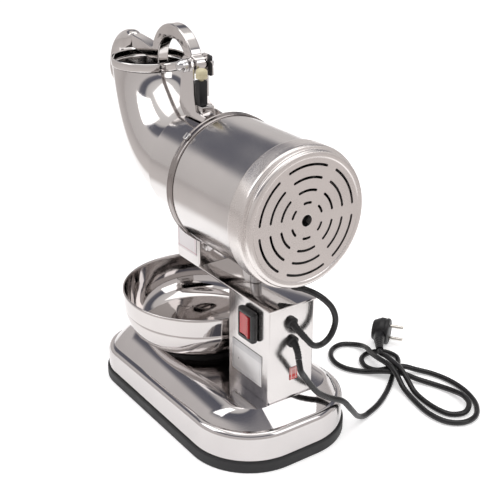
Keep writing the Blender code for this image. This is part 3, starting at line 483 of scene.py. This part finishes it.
def round_edges(obj, width, segments, angle=40):
    bevel = obj.modifiers.new("Bevel", "BEVEL")
    bevel.width = mm(width)
    bevel.segments = segments
    bevel.limit_method = "ANGLE"
    bevel.angle_limit = math.radians(angle)
    bevel.harden_normals = True
    return obj


def boolean(obj, other, operation="DIFFERENCE"):
    modifier = obj.modifiers.new(operation.title(), "BOOLEAN")
    modifier.operation = operation
    modifier.solver = "EXACT"
    modifier.object = other
    other.hide_render = True
    other.hide_viewport = True


def apply_modifiers(obj):
    """The object's modifiers become its mesh, and the cutters that they used are removed."""
    cutters = [modifier.object for modifier in obj.modifiers if modifier.type == "BOOLEAN"]
    for cutter in cutters:
        cutter.hide_viewport = False
    bpy.context.view_layer.update()
    graph = bpy.context.evaluated_depsgraph_get()
    mesh = bpy.data.meshes.new_from_object(obj.evaluated_get(graph))
    obj.modifiers.clear()
    obj.data = mesh
    for cutter in cutters:
        bpy.data.objects.remove(cutter, do_unlink=True)
    return obj


def as_mesh(obj):
    """The curve object made a welded mesh object of the same name, look and place."""
    bpy.context.view_layer.update()
    graph = bpy.context.evaluated_depsgraph_get()
    mesh = bpy.data.meshes.new_from_object(obj.evaluated_get(graph))
    shape = bmesh.new()
    shape.from_mesh(mesh)
    bmesh.ops.remove_doubles(shape, verts=shape.verts, dist=0.000001)
    bmesh.ops.recalc_face_normals(shape, faces=shape.faces)
    shape.to_mesh(mesh)
    shape.free()
    name, world, look = obj.name, obj.matrix_world.copy(), obj.data.materials[0]
    bpy.data.objects.remove(obj, do_unlink=True)
    mesh.materials.clear()
    made = place(name, mesh, look)
    made.matrix_world = world
    return made


def box(name, look, low, high):
    centre = [(a + b) / 2 for a, b in zip(low, high)]
    size = [b - a for a, b in zip(low, high)]
    mesh = bpy.data.meshes.new(name)
    shape = bmesh.new()
    bmesh.ops.create_cube(shape, size=1.0, matrix=Matrix.Diagonal((*mm(*size), 1.0)))
    shape.to_mesh(mesh)
    shape.free()
    return place(name, mesh, look, centre)


def along_x():
    return (0, math.radians(90), 0)


def along_y():
    return (math.radians(-90), 0, 0)


def soft_corners(profile, radius, closed=True):
    """The profile with each corner rounded, and a point close on either side that keeps flats flat."""
    guard = 0.35
    points = [Vector(point) for point in profile]
    made = []
    count = len(points)
    for i, corner in enumerate(points):
        if not closed and i in (0, count - 1):
            made.append(corner)
            continue
        before, after = points[i - 1] - corner, points[(i + 1) % count] - corner
        cut = min(radius, before.length * 0.4, after.length * 0.4)
        start, end = corner + before.normalized() * cut, corner + after.normalized() * cut
        if before.length > 2 * (cut + guard):
            made.append(start + before.normalized() * guard)
        for step in range(5):
            t = step / 4
            made.append(start * (1 - t) ** 2 + corner * 2 * t * (1 - t) + end * t ** 2)
        if after.length > 2 * (cut + guard):
            made.append(end + after.normalized() * guard)
    return [tuple(point) for point in made]


def turned(name, look, profile, location, rotation, ring=True, steps=STEPS):
    """A profile of (radius, height) points, running down its outer side, turned about local Z."""
    mesh = bpy.data.meshes.new(name)
    points = [mm(radius, 0, height) for radius, height in profile]
    edges = [(i, i + 1) for i in range(len(points) - 1)]
    if ring:
        edges.append((len(points) - 1, 0))
    mesh.from_pydata(points, edges, [])
    obj = place(name, mesh, look, location, rotation)
    screw = obj.modifiers.new("Screw", "SCREW")
    screw.steps = steps
    screw.render_steps = steps
    screw.use_merge_vertices = True
    screw.merge_threshold = 0.00001
    screw.use_smooth_shade = True
    return obj


def motor_turned(name, look, profile, radius):
    """A ring turned about the motor's axis: its profile heights are world y."""
    return turned(name, look, soft_corners(profile, radius), (0, 0, AXIS_Z), along_y())


def cylinder(name, look, radius, length, location, rotation, sides=48):
    mesh = bpy.data.meshes.new(name)
    shape = bmesh.new()
    bmesh.ops.create_cone(
        shape, cap_ends=True, segments=sides, radius1=mm(radius), radius2=mm(radius), depth=mm(length),
    )
    shape.to_mesh(mesh)
    shape.free()
    mesh.shade_smooth()
    return place(name, mesh, look, location, rotation)


PLANES = {
    "XY": Matrix.Identity(3),
    "XZ": Matrix(((1, 0, 0), (0, 0, -1), (0, 1, 0))),
    "YZ": Matrix(((0, 0, 1), (1, 0, 0), (0, 1, 0))),
}


def flat(name, look, outlines, plane, middle, thickness):
    """A flat piece from closed outlines in a plane; a second outline inside the first is a hole."""
    curve = bpy.data.curves.new(name, "CURVE")
    curve.dimensions = "2D"
    curve.fill_mode = "BOTH"
    curve.extrude = mm(thickness / 2)
    for outline in outlines:
        spline = curve.splines.new("POLY")
        spline.points.add(len(outline) - 1)
        for point, (u, v) in zip(spline.points, outline):
            point.co = (mm(u), mm(v), 0, 1)
        spline.use_cyclic_u = True
    obj = place(name, curve, look)
    turn = PLANES[plane]
    obj.rotation_euler = turn.to_euler()
    obj.location = turn @ Vector((0, 0, mm(middle)))
    return as_mesh(obj)


def rod(name, look, points, radii, resolution=8):
    """A solid tube along points, with one radius or a radius for each point."""
    curve = bpy.data.curves.new(name, "CURVE")
    curve.dimensions = "3D"
    curve.bevel_depth = mm(1)
    curve.bevel_resolution = resolution
    curve.use_fill_caps = True
    if isinstance(radii, (int, float)):
        radii = [radii] * len(points)
    spline = curve.splines.new("POLY")
    spline.points.add(len(points) - 1)
    for point, place_mm, radius in zip(spline.points, points, radii):
        point.co = (*mm(*place_mm), 1)
        point.radius = radius
    spline.use_smooth = True
    return place(name, curve, look)


def loft(name, look, sections, close_ends=(True, True), around=False):
    """Rings of the same number of points, joined in order, and last to first if around is set."""
    mesh = bpy.data.meshes.new(name)
    shape = bmesh.new()
    rings = [[shape.verts.new(mm(*point)) for point in section] for section in sections]
    joined = rings + rings[:1] if around else rings
    for lower, upper in zip(joined, joined[1:]):
        for i in range(len(lower)):
            j = (i + 1) % len(lower)
            shape.faces.new((lower[i], lower[j], upper[j], upper[i]))
    if close_ends[0]:
        shape.faces.new(list(reversed(rings[0])))
    if close_ends[1]:
        shape.faces.new(rings[-1])
    shape.to_mesh(mesh)
    shape.free()
    mesh.shade_smooth()
    return place(name, mesh, look)


def thicken(obj, thickness):
    sheet = obj.modifiers.new("Solidify", "SOLIDIFY")
    sheet.thickness = mm(thickness)
    sheet.offset = -1
    return obj


def arc(cy, cz, radius, start, end, count):
    """Points (y, z) on an arc, from start to end in degrees."""
    angles = [math.radians(start + (end - start) * i / (count - 1)) for i in range(count)]
    return [(cy + radius * math.cos(a), cz + radius * math.sin(a)) for a in angles]


def circle(u, v, radius):
    return arc(u, v, radius, 0, 352.5, 48)


def rounded_outline(half_width, front, rear, front_radius, rear_radius, per_corner=28):
    """A rectangle symmetric in X, with its own corner radius at the front and at the rear."""
    f, r = front_radius, rear_radius
    outline = arc(half_width - r, rear - r, r, 0, 90, per_corner)
    outline += arc(-half_width + r, rear - r, r, 90, 180, per_corner)
    outline += arc(-half_width + f, front + f, f, 180, 270, per_corner)
    outline += arc(half_width - f, front + f, f, 270, 360, per_corner)
    return outline


def folded_tube(name, look, y_range, z_range, wall, bend, per_corner):
    """A box of folded sheet, open at both ends, as wide as the column."""
    front, rear = y_range
    low, high = z_range
    outlines = []
    for inset in (0, wall):
        half, corner = COLUMN_HALF_WIDTH - inset, bend - inset
        outlines.append(rounded_outline(half, front + inset, rear - inset, corner, corner, per_corner))
    return flat(name, look, outlines, "XY", (low + high) / 2, high - low)


def ease(t):
    return t * t * (3 - 2 * t)


def smoothstep(low, high, value):
    return ease(max(0.0, min(1.0, (value - low) / (high - low))))


def catmull_rom(a, b, c, d, t):
    """The point at t, from 0 to 1, between b and c."""
    bend = (2 * a - 5 * b + 4 * c - d) * t * t + (3 * b - a - 3 * c + d) * t ** 3
    return 0.5 * (2 * b + (c - a) * t + bend)


def smooth_route(points, spacing):
    """Evenly spaced points on a smooth curve through a route, whose two end stretches stay straight."""
    path = [Vector(point) for point in points]
    dense = []
    for corners in zip(path, path[1:], path[2:], path[3:]):
        dense += [catmull_rom(*corners, step / 16) for step in range(16)]
    dense.append(path[-2])
    lengths = [0.0]
    for a, b in zip(dense, dense[1:]):
        lengths.append(lengths[-1] + (b - a).length)
    count = round(lengths[-1] / spacing)
    even = []
    k = 0
    for i in range(count + 1):
        goal = lengths[-1] * i / count
        while k < len(lengths) - 2 and lengths[k + 1] < goal:
            k += 1
        t = (goal - lengths[k]) / (lengths[k + 1] - lengths[k])
        point = dense[k].lerp(dense[k + 1], t)
        point.z = max(point.z, CORD_REST_Z)
        even.append(point)
    return [path[0], *even, path[-1]]


# ---------------------------------------------------------------- cords and plug

def leaving(holder, reach):
    """The first two points of a cord that leaves a boot or a gland along its last stretch."""
    end = Vector(holder[-1])
    way = (end - Vector(holder[-2])).normalized()
    return [end + way * 0.3, end + way * reach]


def make_boot(node, hole, bend, look):
    """A strain relief: a flange on the column and a ribbed boot that tapers along its bend."""
    x, z = hole
    straight = [(x, COLUMN_REAR + depth, z) for depth in (-4, 0, 3)]
    centre = smooth_route([*straight, *bend, bend[-1]], 0.7)
    radii = []
    for i, point in enumerate(centre):
        t = i / (len(centre) - 1)
        inside = point.y < COLUMN_REAR + 0.3
        flange = COLUMN_REAR + 0.3 <= point.y < COLUMN_REAR + 2.9 and t < 0.4
        rib = RIB_DEPTH * math.cos(2 * math.pi * t * 9) if 0.35 < t < 0.93 else 0
        radii.append(5.9 if inside else 7.2 if flange else 4.1 + 1.5 * (1 - t) ** 3 + rib - 0.3)
    boot = as_mesh(rod(f"{node}_boot", look, centre, radii))
    boot.data.shade_smooth()
    stand_for(split_sharp(boot, 50), node)


def make_gland(look):
    """The gland under the motor: short and straight, with shallow ribs."""
    first, last = Vector(MOTOR_GLAND[0]), Vector(MOTOR_GLAND[-1])
    centre = [first.lerp(last, i / 12) for i in range(13)]
    radii = [6.2 - 1.5 * ease(i / 12) - 0.25 * (i % 3 == 1) for i in range(13)]
    gland = as_mesh(rod("motor_gland_fine", look, centre, radii))
    gland.data.shade_smooth()
    stand_for(split_sharp(gland, 50), "motor_gland")


def make_plug(look):
    """An angled plug's body: round, standing on its edge, with a groove and a ribbed side neck."""
    face = Vector(PLUG_FACE)
    heading = Vector((math.cos(PLUG_HEADING), math.sin(PLUG_HEADING), 0))
    rim, groove, back = PLUG_RADIUS, PLUG_RADIUS - 0.8, -PLUG_LENGTH
    profile = [
        (0, 0), (10.5, 0), (11, -0.9), (13, -0.9), (13.5, 0), (16.6, 0), (rim, -1.6), (rim, -5.2),
        (groove, -5.8), (groove, -6.8), (rim, -7.4), (rim, -13), (13.8, back + 0.6), (12.6, back),
        (0, back),
    ]
    level = (0, math.radians(90), PLUG_HEADING)
    profile = soft_corners(profile, 0.7, False)
    body = turned("plug_body_fine", look, profile, face, level, False, 96)
    centre = smooth_route([face - heading * 12, face - heading * 11, *PLUG_NECK, PLUG_NECK[-1]], 0.8)
    radii = []
    for i in range(len(centre)):
        t = i / (len(centre) - 1)
        rib = RIB_DEPTH * math.cos(2 * math.pi * t * 11) if t > 0.55 else RIB_DEPTH
        radii.append(9.1 - 3.9 * ease(t) + rib - RIB_DEPTH)
    neck = as_mesh(rod("plug_neck", look, centre, radii))
    boolean(body, neck, "UNION")
    apply_modifiers(body)
    body.data.shade_smooth()
    return stand_for(split_sharp(body, 50), "plug_body")


def make_cord(node, looks, points):
    cord = rod(f"{node}_tube", looks["cord"], smooth_route(points, 3.5), CORD_DIAMETER / 2, 6)
    stand_for(cord, node)


def make_cords(looks):
    make_boot("mains_strain_relief", MAINS_HOLE, MAINS_BOOT, looks["boot"])
    make_boot("lead_strain_relief", LEAD_HOLE, LEAD_BOOT, looks["boot"])
    make_gland(looks["boot"])
    plug = make_plug(looks["boot"])
    mains = leaving(MAINS_BOOT, 12) + list(MAINS_ROUTE) + leaving(PLUG_NECK, 8)[::-1]
    make_cord("mains_cord", looks, mains)
    lead = leaving(LEAD_BOOT, 9) + list(LEAD_ROUTE) + leaving(MOTOR_GLAND, 8)[::-1]
    make_cord("motor_lead", looks, lead)


# ---------------------------------------------------------------- base

def base_outline(inset):
    return rounded_outline(
        BASE_HALF_WIDTH - inset, BASE_FRONT + inset, BASE_REAR - inset,
        BASE_FRONT_RADIUS - inset, BASE_REAR_RADIUS - inset,
    )


def shoulder_drop(y):
    """The shoulder runs lower towards the front."""
    return SHOULDER_DROP * (1 - smoothstep(BASE_FRONT, 130, y))


def make_base(looks):
    """A pressed shell: an upright wall, a rolled shoulder, a fold and a rise to the flat plateau."""
    foot_inset, roll = 2.5, 8.0
    walls = [(foot_inset, SKIRT_HEIGHT + 0.3, 0.0), (foot_inset, SHOULDER_Z - 9.5, 1.0)]
    for i in range(1, 9):
        a = math.radians(90 * i / 8)
        walls.append((foot_inset + roll * (1 - math.cos(a)), SHOULDER_Z - 9 + 9 * math.sin(a), 1.0))
    sections = [
        [(x, y, z - share * shoulder_drop(y)) for x, y in base_outline(inset)] for inset, z, share in walls
    ]
    shoulder = base_outline(walls[-1][0])
    plateau = rounded_outline(PLATEAU_HALF_WIDTH, PLATEAU_FRONT, PLATEAU_REAR, 46.0, 26.0)
    rises = [0.012, 0.03] + [0.06 + 0.94 * i / 22 for i in range(23)]
    for t in rises:
        section = []
        for (x0, y0), (x1, y1) in zip(shoulder, plateau):
            dome = 1 - (1 - t) ** 1.75
            share = dome + (t - dome) * smoothstep(150, 200, y0)
            low = SHOULDER_Z - shoulder_drop(y0)
            section.append((x0 + (x1 - x0) * t, y0 + (y1 - y0) * t, low + (PLATEAU_Z - low) * share))
        sections.append(section)
    shell = loft("base_shell_fine", looks["base"], sections, (False, True))
    stand_for(split_sharp(thicken(shell, 1.5), 24), "base_shell")
    top, wide = SKIRT_HEIGHT, SKIRT_WIDTH
    section = soft_corners([(0.5, 0), (0, 1.5), (0, top - 2), (1.2, top), (wide, top), (wide, 0)], 0.8)
    rings = [[(x, y, z) for x, y in base_outline(inset)] for inset, z in section]
    skirt = loft("base_skirt_fine", looks["skirt"], rings, (False, False), True)
    stand_for(split_sharp(skirt, 50), "base_skirt")


# ---------------------------------------------------------------- column and switch

def switch_box(name, look, inner, outer, half_y, half_z):
    """A box about the middle of the switch, between two x values."""
    low = (inner, SWITCH_Y - half_y, SWITCH_Z - half_z)
    return box(name, look, low, (outer, SWITCH_Y + half_y, SWITCH_Z + half_z))


def make_column(looks):
    """A folded sheet box with bent corners, a hole for the switch and two for the cords."""
    look = looks["column"]
    low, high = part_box("column_box")
    y_range, z_range = (COLUMN_FRONT, COLUMN_REAR), (low.z * 1000, high.z * 1000)
    column = folded_tube("column_box_fine", look, y_range, z_range, 1.5, 2.2, 8)
    boolean(column, switch_box("switch_hole", look, 20, 40, 12.5, 16))
    for x, z in (LEAD_HOLE, MAINS_HOLE):
        boolean(column, cylinder("cord_hole", look, 6.4, 12, (x, COLUMN_REAR, z), along_y()))
    apply_modifiers(column)
    column.data.shade_smooth()
    stand_for(split_sharp(column, 30), "column_box")


def make_switch(looks):
    """A rocker switch with a chamfered bezel; the rocker's face is a shallow V."""
    black = looks["black"]
    low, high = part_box("switch_bezel")
    face, front = COLUMN_HALF_WIDTH + 0.3, high.x * 1000
    bezel = switch_box("switch_bezel_fine", black, face, front, 15, 19.5)
    round_edges(bezel, 3.0, 2)
    well = switch_box("switch_well", black, face - 6, front + 5, 10.8, 13.8)
    body = switch_box("switch_body", black, low.x * 1000, face + 1, 12, 15.5)
    boolean(bezel, body, "UNION")
    boolean(bezel, well)
    apply_modifiers(bezel)
    stand_for(round_edges(bezel, 0.45, 3, 30), "switch_bezel")
    half, rise = 9.6, 6.3
    side = [(rise + 0.35, 0.35), (rise + 0.9, 0.7), (rise + 1.6, 0.98), (2.5, 1), (-2.5, 0.8)]
    outline = [(rise, 0), *((x, half * share) for x, share in side), (-3.5, 0)]
    outline += [(x, -half * share) for x, share in reversed(side)]
    rocker = flat("rocker_fine", looks["red"], [outline], "XY", 0, 26.4)
    rocker.location = mm(face + 2.0, SWITCH_Y, SWITCH_Z)
    rocker.rotation_euler = (0, 0, math.radians(-7))
    stand_for(round_edges(rocker, 0.6, 3, 50), "rocker")


# ---------------------------------------------------------------- motor

def slot_outline(radius, half_angle, middle):
    """A curved slot with round ends, about the motor's axis, in (x, z)."""
    steps = 4 + round(half_angle * 0.8)
    half = VENT_SLOT_WIDTH / 2
    first, last = middle - half_angle, middle + half_angle
    outline = arc(0, AXIS_Z, radius + half, first, last, steps)
    outline += slot_end(radius, last, last, half)
    outline += arc(0, AXIS_Z, radius - half, last, first, steps)
    outline += slot_end(radius, first, first + 180, half)
    return outline


def slot_end(radius, at, start, half_width):
    a = math.radians(at)
    centre = radius * math.cos(a), AXIS_Z + radius * math.sin(a)
    return arc(*centre, half_width, start, start + 180, 8)[1:-1]


def make_motor(looks):
    inner = HOUSING_RADIUS - 1.3
    tube = [(HOUSING_RADIUS, 186), (HOUSING_RADIUS, 56), (inner, 56), (inner, 186)]
    housing = motor_turned("motor_housing_fine", looks["housing"], tube, 0.4)
    stand_for(split_sharp(housing), "motor_housing")
    lap = HOUSING_RADIUS + 0.3
    band = [
        (lap + 0.2, 62.4), (78.9, 61.9), (79.3, 60.6), (79.3, 59.8), (78.5, 59.0), (78.5, 54.2),
        (79.3, 53.4), (79.3, 52.4), (78.8, 51.1), (77.9, 50.6), (68, 50.6), (68, 52.0), (lap, 52.0), (lap, 62.4),
    ]
    clamp = motor_turned("front_clamp_band_fine", looks["clamp"], band, 0.5)
    stand_for(split_sharp(clamp), "front_clamp_band")
    rear = END_CAP_REAR
    profile = [
        (6.5, rear - 1.3), (69.2, rear - 1.3), (70.4, rear - 0.2), (73.2, rear), (75.8, rear - 0.9),
        (77.4, rear - 3.2), (77.0, rear - 5.6), (75.6, rear - 6.6), (76.2, rear - 7.8), (79.9, rear - 9.2),
        (80.7, rear - 11.5), (80.7, 178.0), (80.0, 176.3), (lap + 0.1, 176.3), (lap + 0.1, 198.2),
        (73.6, 200.6), (73.6, 205.0), (71, 206.2), (6.5, 206.2),
    ]
    cap = motor_turned("rear_end_cap_fine", looks["cap"], profile, 0.9)
    pitch = 360 / VENT_SLOTS_IN_A_RING
    middles = [pitch * (i + 0.5) for i in range(VENT_SLOTS_IN_A_RING)]
    outlines = [slot_outline(*ring, middle) for ring in VENT_RINGS for middle in middles]
    boolean(cap, flat("vent_slots", looks["cap"], outlines, "XZ", -(rear - 1), 6))
    apply_modifiers(cap)
    stand_for(split_sharp(cap, 32), "rear_end_cap")


# ---------------------------------------------------------------- chamber and chute

def make_chamber(looks):
    """A plain sleeve with a flange at the motor and an opening down into the chute."""
    outer, inner = CHAMBER_RADIUS, CHAMBER_RADIUS - 1.5
    low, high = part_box("blade_chamber")
    front, rear = low.y * 1000, high.y * 1000
    profile = [
        (7.5, rear), (75.5, rear), (75.5, rear - 1.7), (outer, rear - 1.7), (outer, front),
        (inner, front), (inner, 50.8), (7.5, 50.8),
    ]
    chamber = motor_turned("blade_chamber_fine", looks["band"], profile, 1.0)
    boolean(chamber, box("floor_cut", looks["band"], (-29, -4, 200), (29, 41, 262)))
    apply_modifiers(chamber)
    stand_for(split_sharp(chamber, 32), "blade_chamber")


def make_chute(looks):
    """A folded sheet spout under the chamber, hollowed to fit round it, with its front corner cut off."""
    look = looks["sheet"]
    chute = folded_tube("ice_chute_fine", look, (CHUTE_FRONT, CHUTE_REAR), (190, 260), 1.3, 2.0, 6)
    boolean(chute, cylinder("clearance", look, CHAMBER_RADIUS + 0.5, 90, (0, 18, AXIS_Z), along_y(), 128))
    corner = box("corner_cut", look, (-40, -20, 180), (40, 0, 193))
    corner.rotation_euler = (math.radians(-22), 0, 0)
    boolean(chute, corner)
    apply_modifiers(chute)
    chute.data.shade_smooth()
    stand_for(split_sharp(chute, 30), "ice_chute")


# ---------------------------------------------------------------- elbow

def on_hinge_arc(radius, angle):
    a = math.radians(angle)
    return HINGE_Y + radius * math.cos(a), HINGE_Z + radius * math.sin(a)


def ring_section(y, z, radius, plane):
    """A circle about (y, z), in a plane that holds X and leans by an angle in degrees."""
    lean = math.radians(plane)
    points = []
    for i in range(STEPS):
        a = 2 * math.pi * i / STEPS
        across, along = radius * math.cos(a), radius * math.sin(a)
        points.append((across, y + along * math.cos(lean), z + along * math.sin(lean)))
    return points


def make_elbow(looks):
    """A thin elbow that widens from the mouth to the blade chamber, with a rolled rim on top."""
    count = 56
    start = 180 + math.degrees(math.asin((HINGE_Z - MOUTH_Z + RIM_HEIGHT + 0.3) / MOUTH_ARC))
    sections = []
    for i in range(count):
        t = i / (count - 1)
        angle = start + (ELBOW_END_ANGLE - start) * t
        middle = MOUTH_ARC + (END_ARC - MOUTH_ARC) * ease(t)
        radius = MOUTH_RADIUS + (ELBOW_RADIUS - MOUTH_RADIUS) * ease(t)
        plane = angle - (start - 180) * (1 - ease(min(1.0, 2 * t)))
        sections.append(ring_section(*on_hinge_arc(middle, angle), radius, plane))
    elbow = thicken(loft("elbow_hopper_fine", looks["elbow"], sections, (False, False)), 1.4)
    stand_for(split_sharp(elbow, 45), "elbow_hopper")
    rolled = (
        (0, 1.4), (0.15, 0.9), (0.6, 0.45), (1.5, 0.15), (3.2, 0.02), (5.2, 0), (7.2, 0.02), (8.8, 0.15),
        (9.8, 0.45), (10.3, 0.9), (10.5, 1.4),
    )
    sections = [ring_section(MOUTH_Y, MOUTH_Z - depth, RIM_RADIUS - inset, 180) for depth, inset in rolled]
    rim = thicken(loft("mouth_rim_fine", looks["rim"], sections, (False, False)), 1.6)
    stand_for(split_sharp(rim, 45), "mouth_rim")


# ---------------------------------------------------------------- lever, grip and hinge

def lever_outline():
    """Bar, arch and hub as one casting, seen from the side."""
    outline = [(-148, 416.5), (-148, 432.5), (-122, 430.2), (-99, 426.0)]
    outline += arc(-50, 414.5, 48, 164, 24, 64)
    outline += arc(HINGE_Y, HINGE_Z, 11.0, 40, -100, 28)
    outline += arc(-50, 414, 33, 0, 180, 56)
    outline += [(-83, 409), (-83.5, 408.1), (-95, 408.1), (-98, 410.5), (-120, 413.5)]
    return outline


def grip_sections():
    """The grip's outline, seen from the side, shrinks towards both ends like a rounded pebble."""
    outline = [
        (-148.3, 417), (-148.3, 431.5), (-152, 435), (-160, 436), (-171, 434), (-184, 428), (-196, 418.5),
        (-206, 406), (-212.5, 391), (-216, 376), (-214.5, 365), (-208, 359), (-197, 358.5), (-187, 363),
        (-180, 374), (-176.5, 389), (-174.5, 403), (-169, 412), (-158, 415.5),
    ]
    closed = [Vector(point) for point in outline]
    fine = []
    for i in range(len(closed)):
        corners = [closed[(i + k) % len(closed)] for k in (-1, 0, 1, 2)]
        fine += [catmull_rom(*corners, step / 4) for step in range(4)]
    centre_y, centre_z = GRIP_CENTRE
    sections = []
    steps = 16
    for i in range(-steps, steps + 1):
        u = math.sin(math.pi / 2 * i / (steps * 1.06))
        scale = (1 - abs(u) ** 2.6) ** (1 / 2.6)
        section = []
        for point in fine:
            y, z = min(point.x, GRIP_ROOT_Y), point.y
            shrink = scale + (1 - scale) * 0.45 * max(0.0, min(1.0, (y - centre_y) / 30))
            x = GRIP_HALF_WIDTH * u
            section.append((x, centre_y + (y - centre_y) * shrink, centre_z + (z - centre_z) * shrink))
        sections.append(section)
    return sections


def make_lever(looks):
    outlines = [lever_outline(), circle(HINGE_Y, HINGE_Z, LEVER_BORE_RADIUS)]
    lever = flat("pusher_lever_fine", looks["cast"], outlines, "YZ", 0, 2 * LEVER_HALF_WIDTH)
    rounded = round_edges(lever, 1.7, 4)
    rounded.modifiers["Bevel"].use_clamp_overlap = False
    stand_for(split_sharp(rounded, 35), "pusher_lever")
    grip = loft("lever_grip_fine", looks["cast"], grip_sections())
    stand_for(split_sharp(grip, 60), "lever_grip")


def make_hinge(looks):
    """The dome nut on the bolt that the lever turns on, and the cream cap of the safety switch."""
    dome = [(7.0 * math.sin(0.13 * i), 6.2 + 7.3 * math.cos(0.13 * i)) for i in range(1, 12)]
    flange = [(7.0, 5.5), (7.6, 5.0), (7.6, 0.4), (7.2, 0), (4.3, 0), (4.3, 5), (0, 5)]
    low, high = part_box("acorn_nut")
    at = (low.x * 1000, HINGE_Y, HINGE_Z)
    profile = [(0, 13.5), *dome, *flange]
    nut = turned("acorn_nut_fine", looks["fastener"], profile, at, along_x(), False, 72)
    stand_for(split_sharp(nut, 40), "acorn_nut")
    low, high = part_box("switch_plunger")
    at = ((low.x + high.x) * 500, (low.y + high.y) * 500, low.z * 1000 + 6.5)
    profile = [
        (0, 11.5), (2.5, 11.4), (4.6, 10.9), (6.0, 9.8), (6.7, 8.4), (6.9, 7.0), (6.9, 5.2), (6.5, 4.9),
        (6.5, 4.3), (6.9, 4.0), (6.9, 0.4), (6.5, 0), (2.5, 0), (2.5, -6.5), (0, -6.5),
    ]
    cap = turned("switch_plunger_fine", looks["cream"], profile, at, (0, 0, 0), False, 64)
    stand_for(split_sharp(cap, 40), "switch_plunger")


# ---------------------------------------------------------------- bowl

def make_bowl(looks):
    """A two-skin bowl: a seam at mid-height outside and a rolled rim."""
    rim, top = BOWL_RIM_RADIUS, BOWL_RIM_Z
    inside = [
        (0, 82), (30, 82.1), (50, 82.6), (62, 83.4), (70, 84.5), (76, 86.4), (81, 89.5), (85.5, 94),
        (89.2, 100), (91.8, 106), (93.6, 112), (94.8, 118), (95.8, 124), (96.5, 130), (97.0, 136),
        (97.2, top - 0.4),
    ]
    lip = [(97.6, top), (rim - 0.6, top), (rim, top - 0.7), (rim, top - 3.5), (rim - 0.2, top - 9)]
    outside = [
        (98.2, 121), (97.9, 117.2), (97.4, 116.9), (97.4, 116.2), (97.6, 115.9), (96.0, 106.5),
        (94.4, 100.5), (92, 95), (88.4, 88.6), (84.5, 84.6), (79, 81.4), (72, 79.4), (66, BOWL_BOTTOM),
        (0, BOWL_BOTTOM),
    ]
    profile = inside + lip + outside
    bowl = turned("bowl_fine", looks["bowl"], profile, (0, BOWL_Y, 0), (0, 0, 0), False, 192)
    stand_for(split_sharp(bowl, 50), "bowl")


# ---------------------------------------------------------------- CAD pieces kept as they are

KEPT_PIECES = {
    "sheet": ("top_plate", "hinge_bracket", "switch_stand", "hinge_spacer_left", "hinge_spacer_right"),
    "brushed": ("bottom_cover", "run_capacitor", "pusher_plate", "support_post"),
    "fastener": (
        "bolt_head", "hinge_bolt", "chute_nut", "band_screw", "disc_nut", "stop_screw", "pusher_screw",
    ),
    "cast": ("pusher_arm",),
    "bell": ("front_bell", "rear_bell"),
    "laminated": ("stator", "rotor"),
    "hard": ("front_bearing", "rear_bearing", "motor_shaft", "blade_1", "blade_2", "blade_3", "blade_disc"),
    "black": ("cooling_fan",),
    "boot": ("micro_switch", "lever_stop"),
    "skirt": ("bowl_foot",),
    "plate": ("rating_plate",),
    "label": ("chute_plate",),
    "tag": ("inspection_tag",),
    "pins": ("plug_pin_1", "plug_pin_2"),
}


def keep_cad(node, look):
    """A CAD piece whose shape is right: welded, and shaded smooth between its sharp edges."""
    obj = NODES[node]
    mesh = obj.data
    if "custom_normal" in mesh.attributes:
        mesh.attributes.remove(mesh.attributes["custom_normal"])
    mesh.shade_smooth()
    weld = obj.modifiers.new("Weld", "WELD")
    weld.merge_threshold = 0.00001
    split_sharp(obj, 32)
    mesh.materials.clear()
    mesh.materials.append(look)
    for polygon in mesh.polygons:
        polygon.material_index = 0


def main():
    make_stage()
    looks = make_looks()
    make_cords(looks)
    make_base(looks)
    make_column(looks)
    make_switch(looks)
    make_motor(looks)
    make_chamber(looks)
    make_chute(looks)
    make_elbow(looks)
    make_lever(looks)
    make_hinge(looks)
    make_bowl(looks)
    for key, nodes in KEPT_PIECES.items():
        for node in nodes:
            keep_cad(node, looks[key])
    boxes = {"cad": CAD_BOX, "visual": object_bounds()}
    boxes = {name: [list(corner) for corner in corners] for name, corners in boxes.items()}


main()
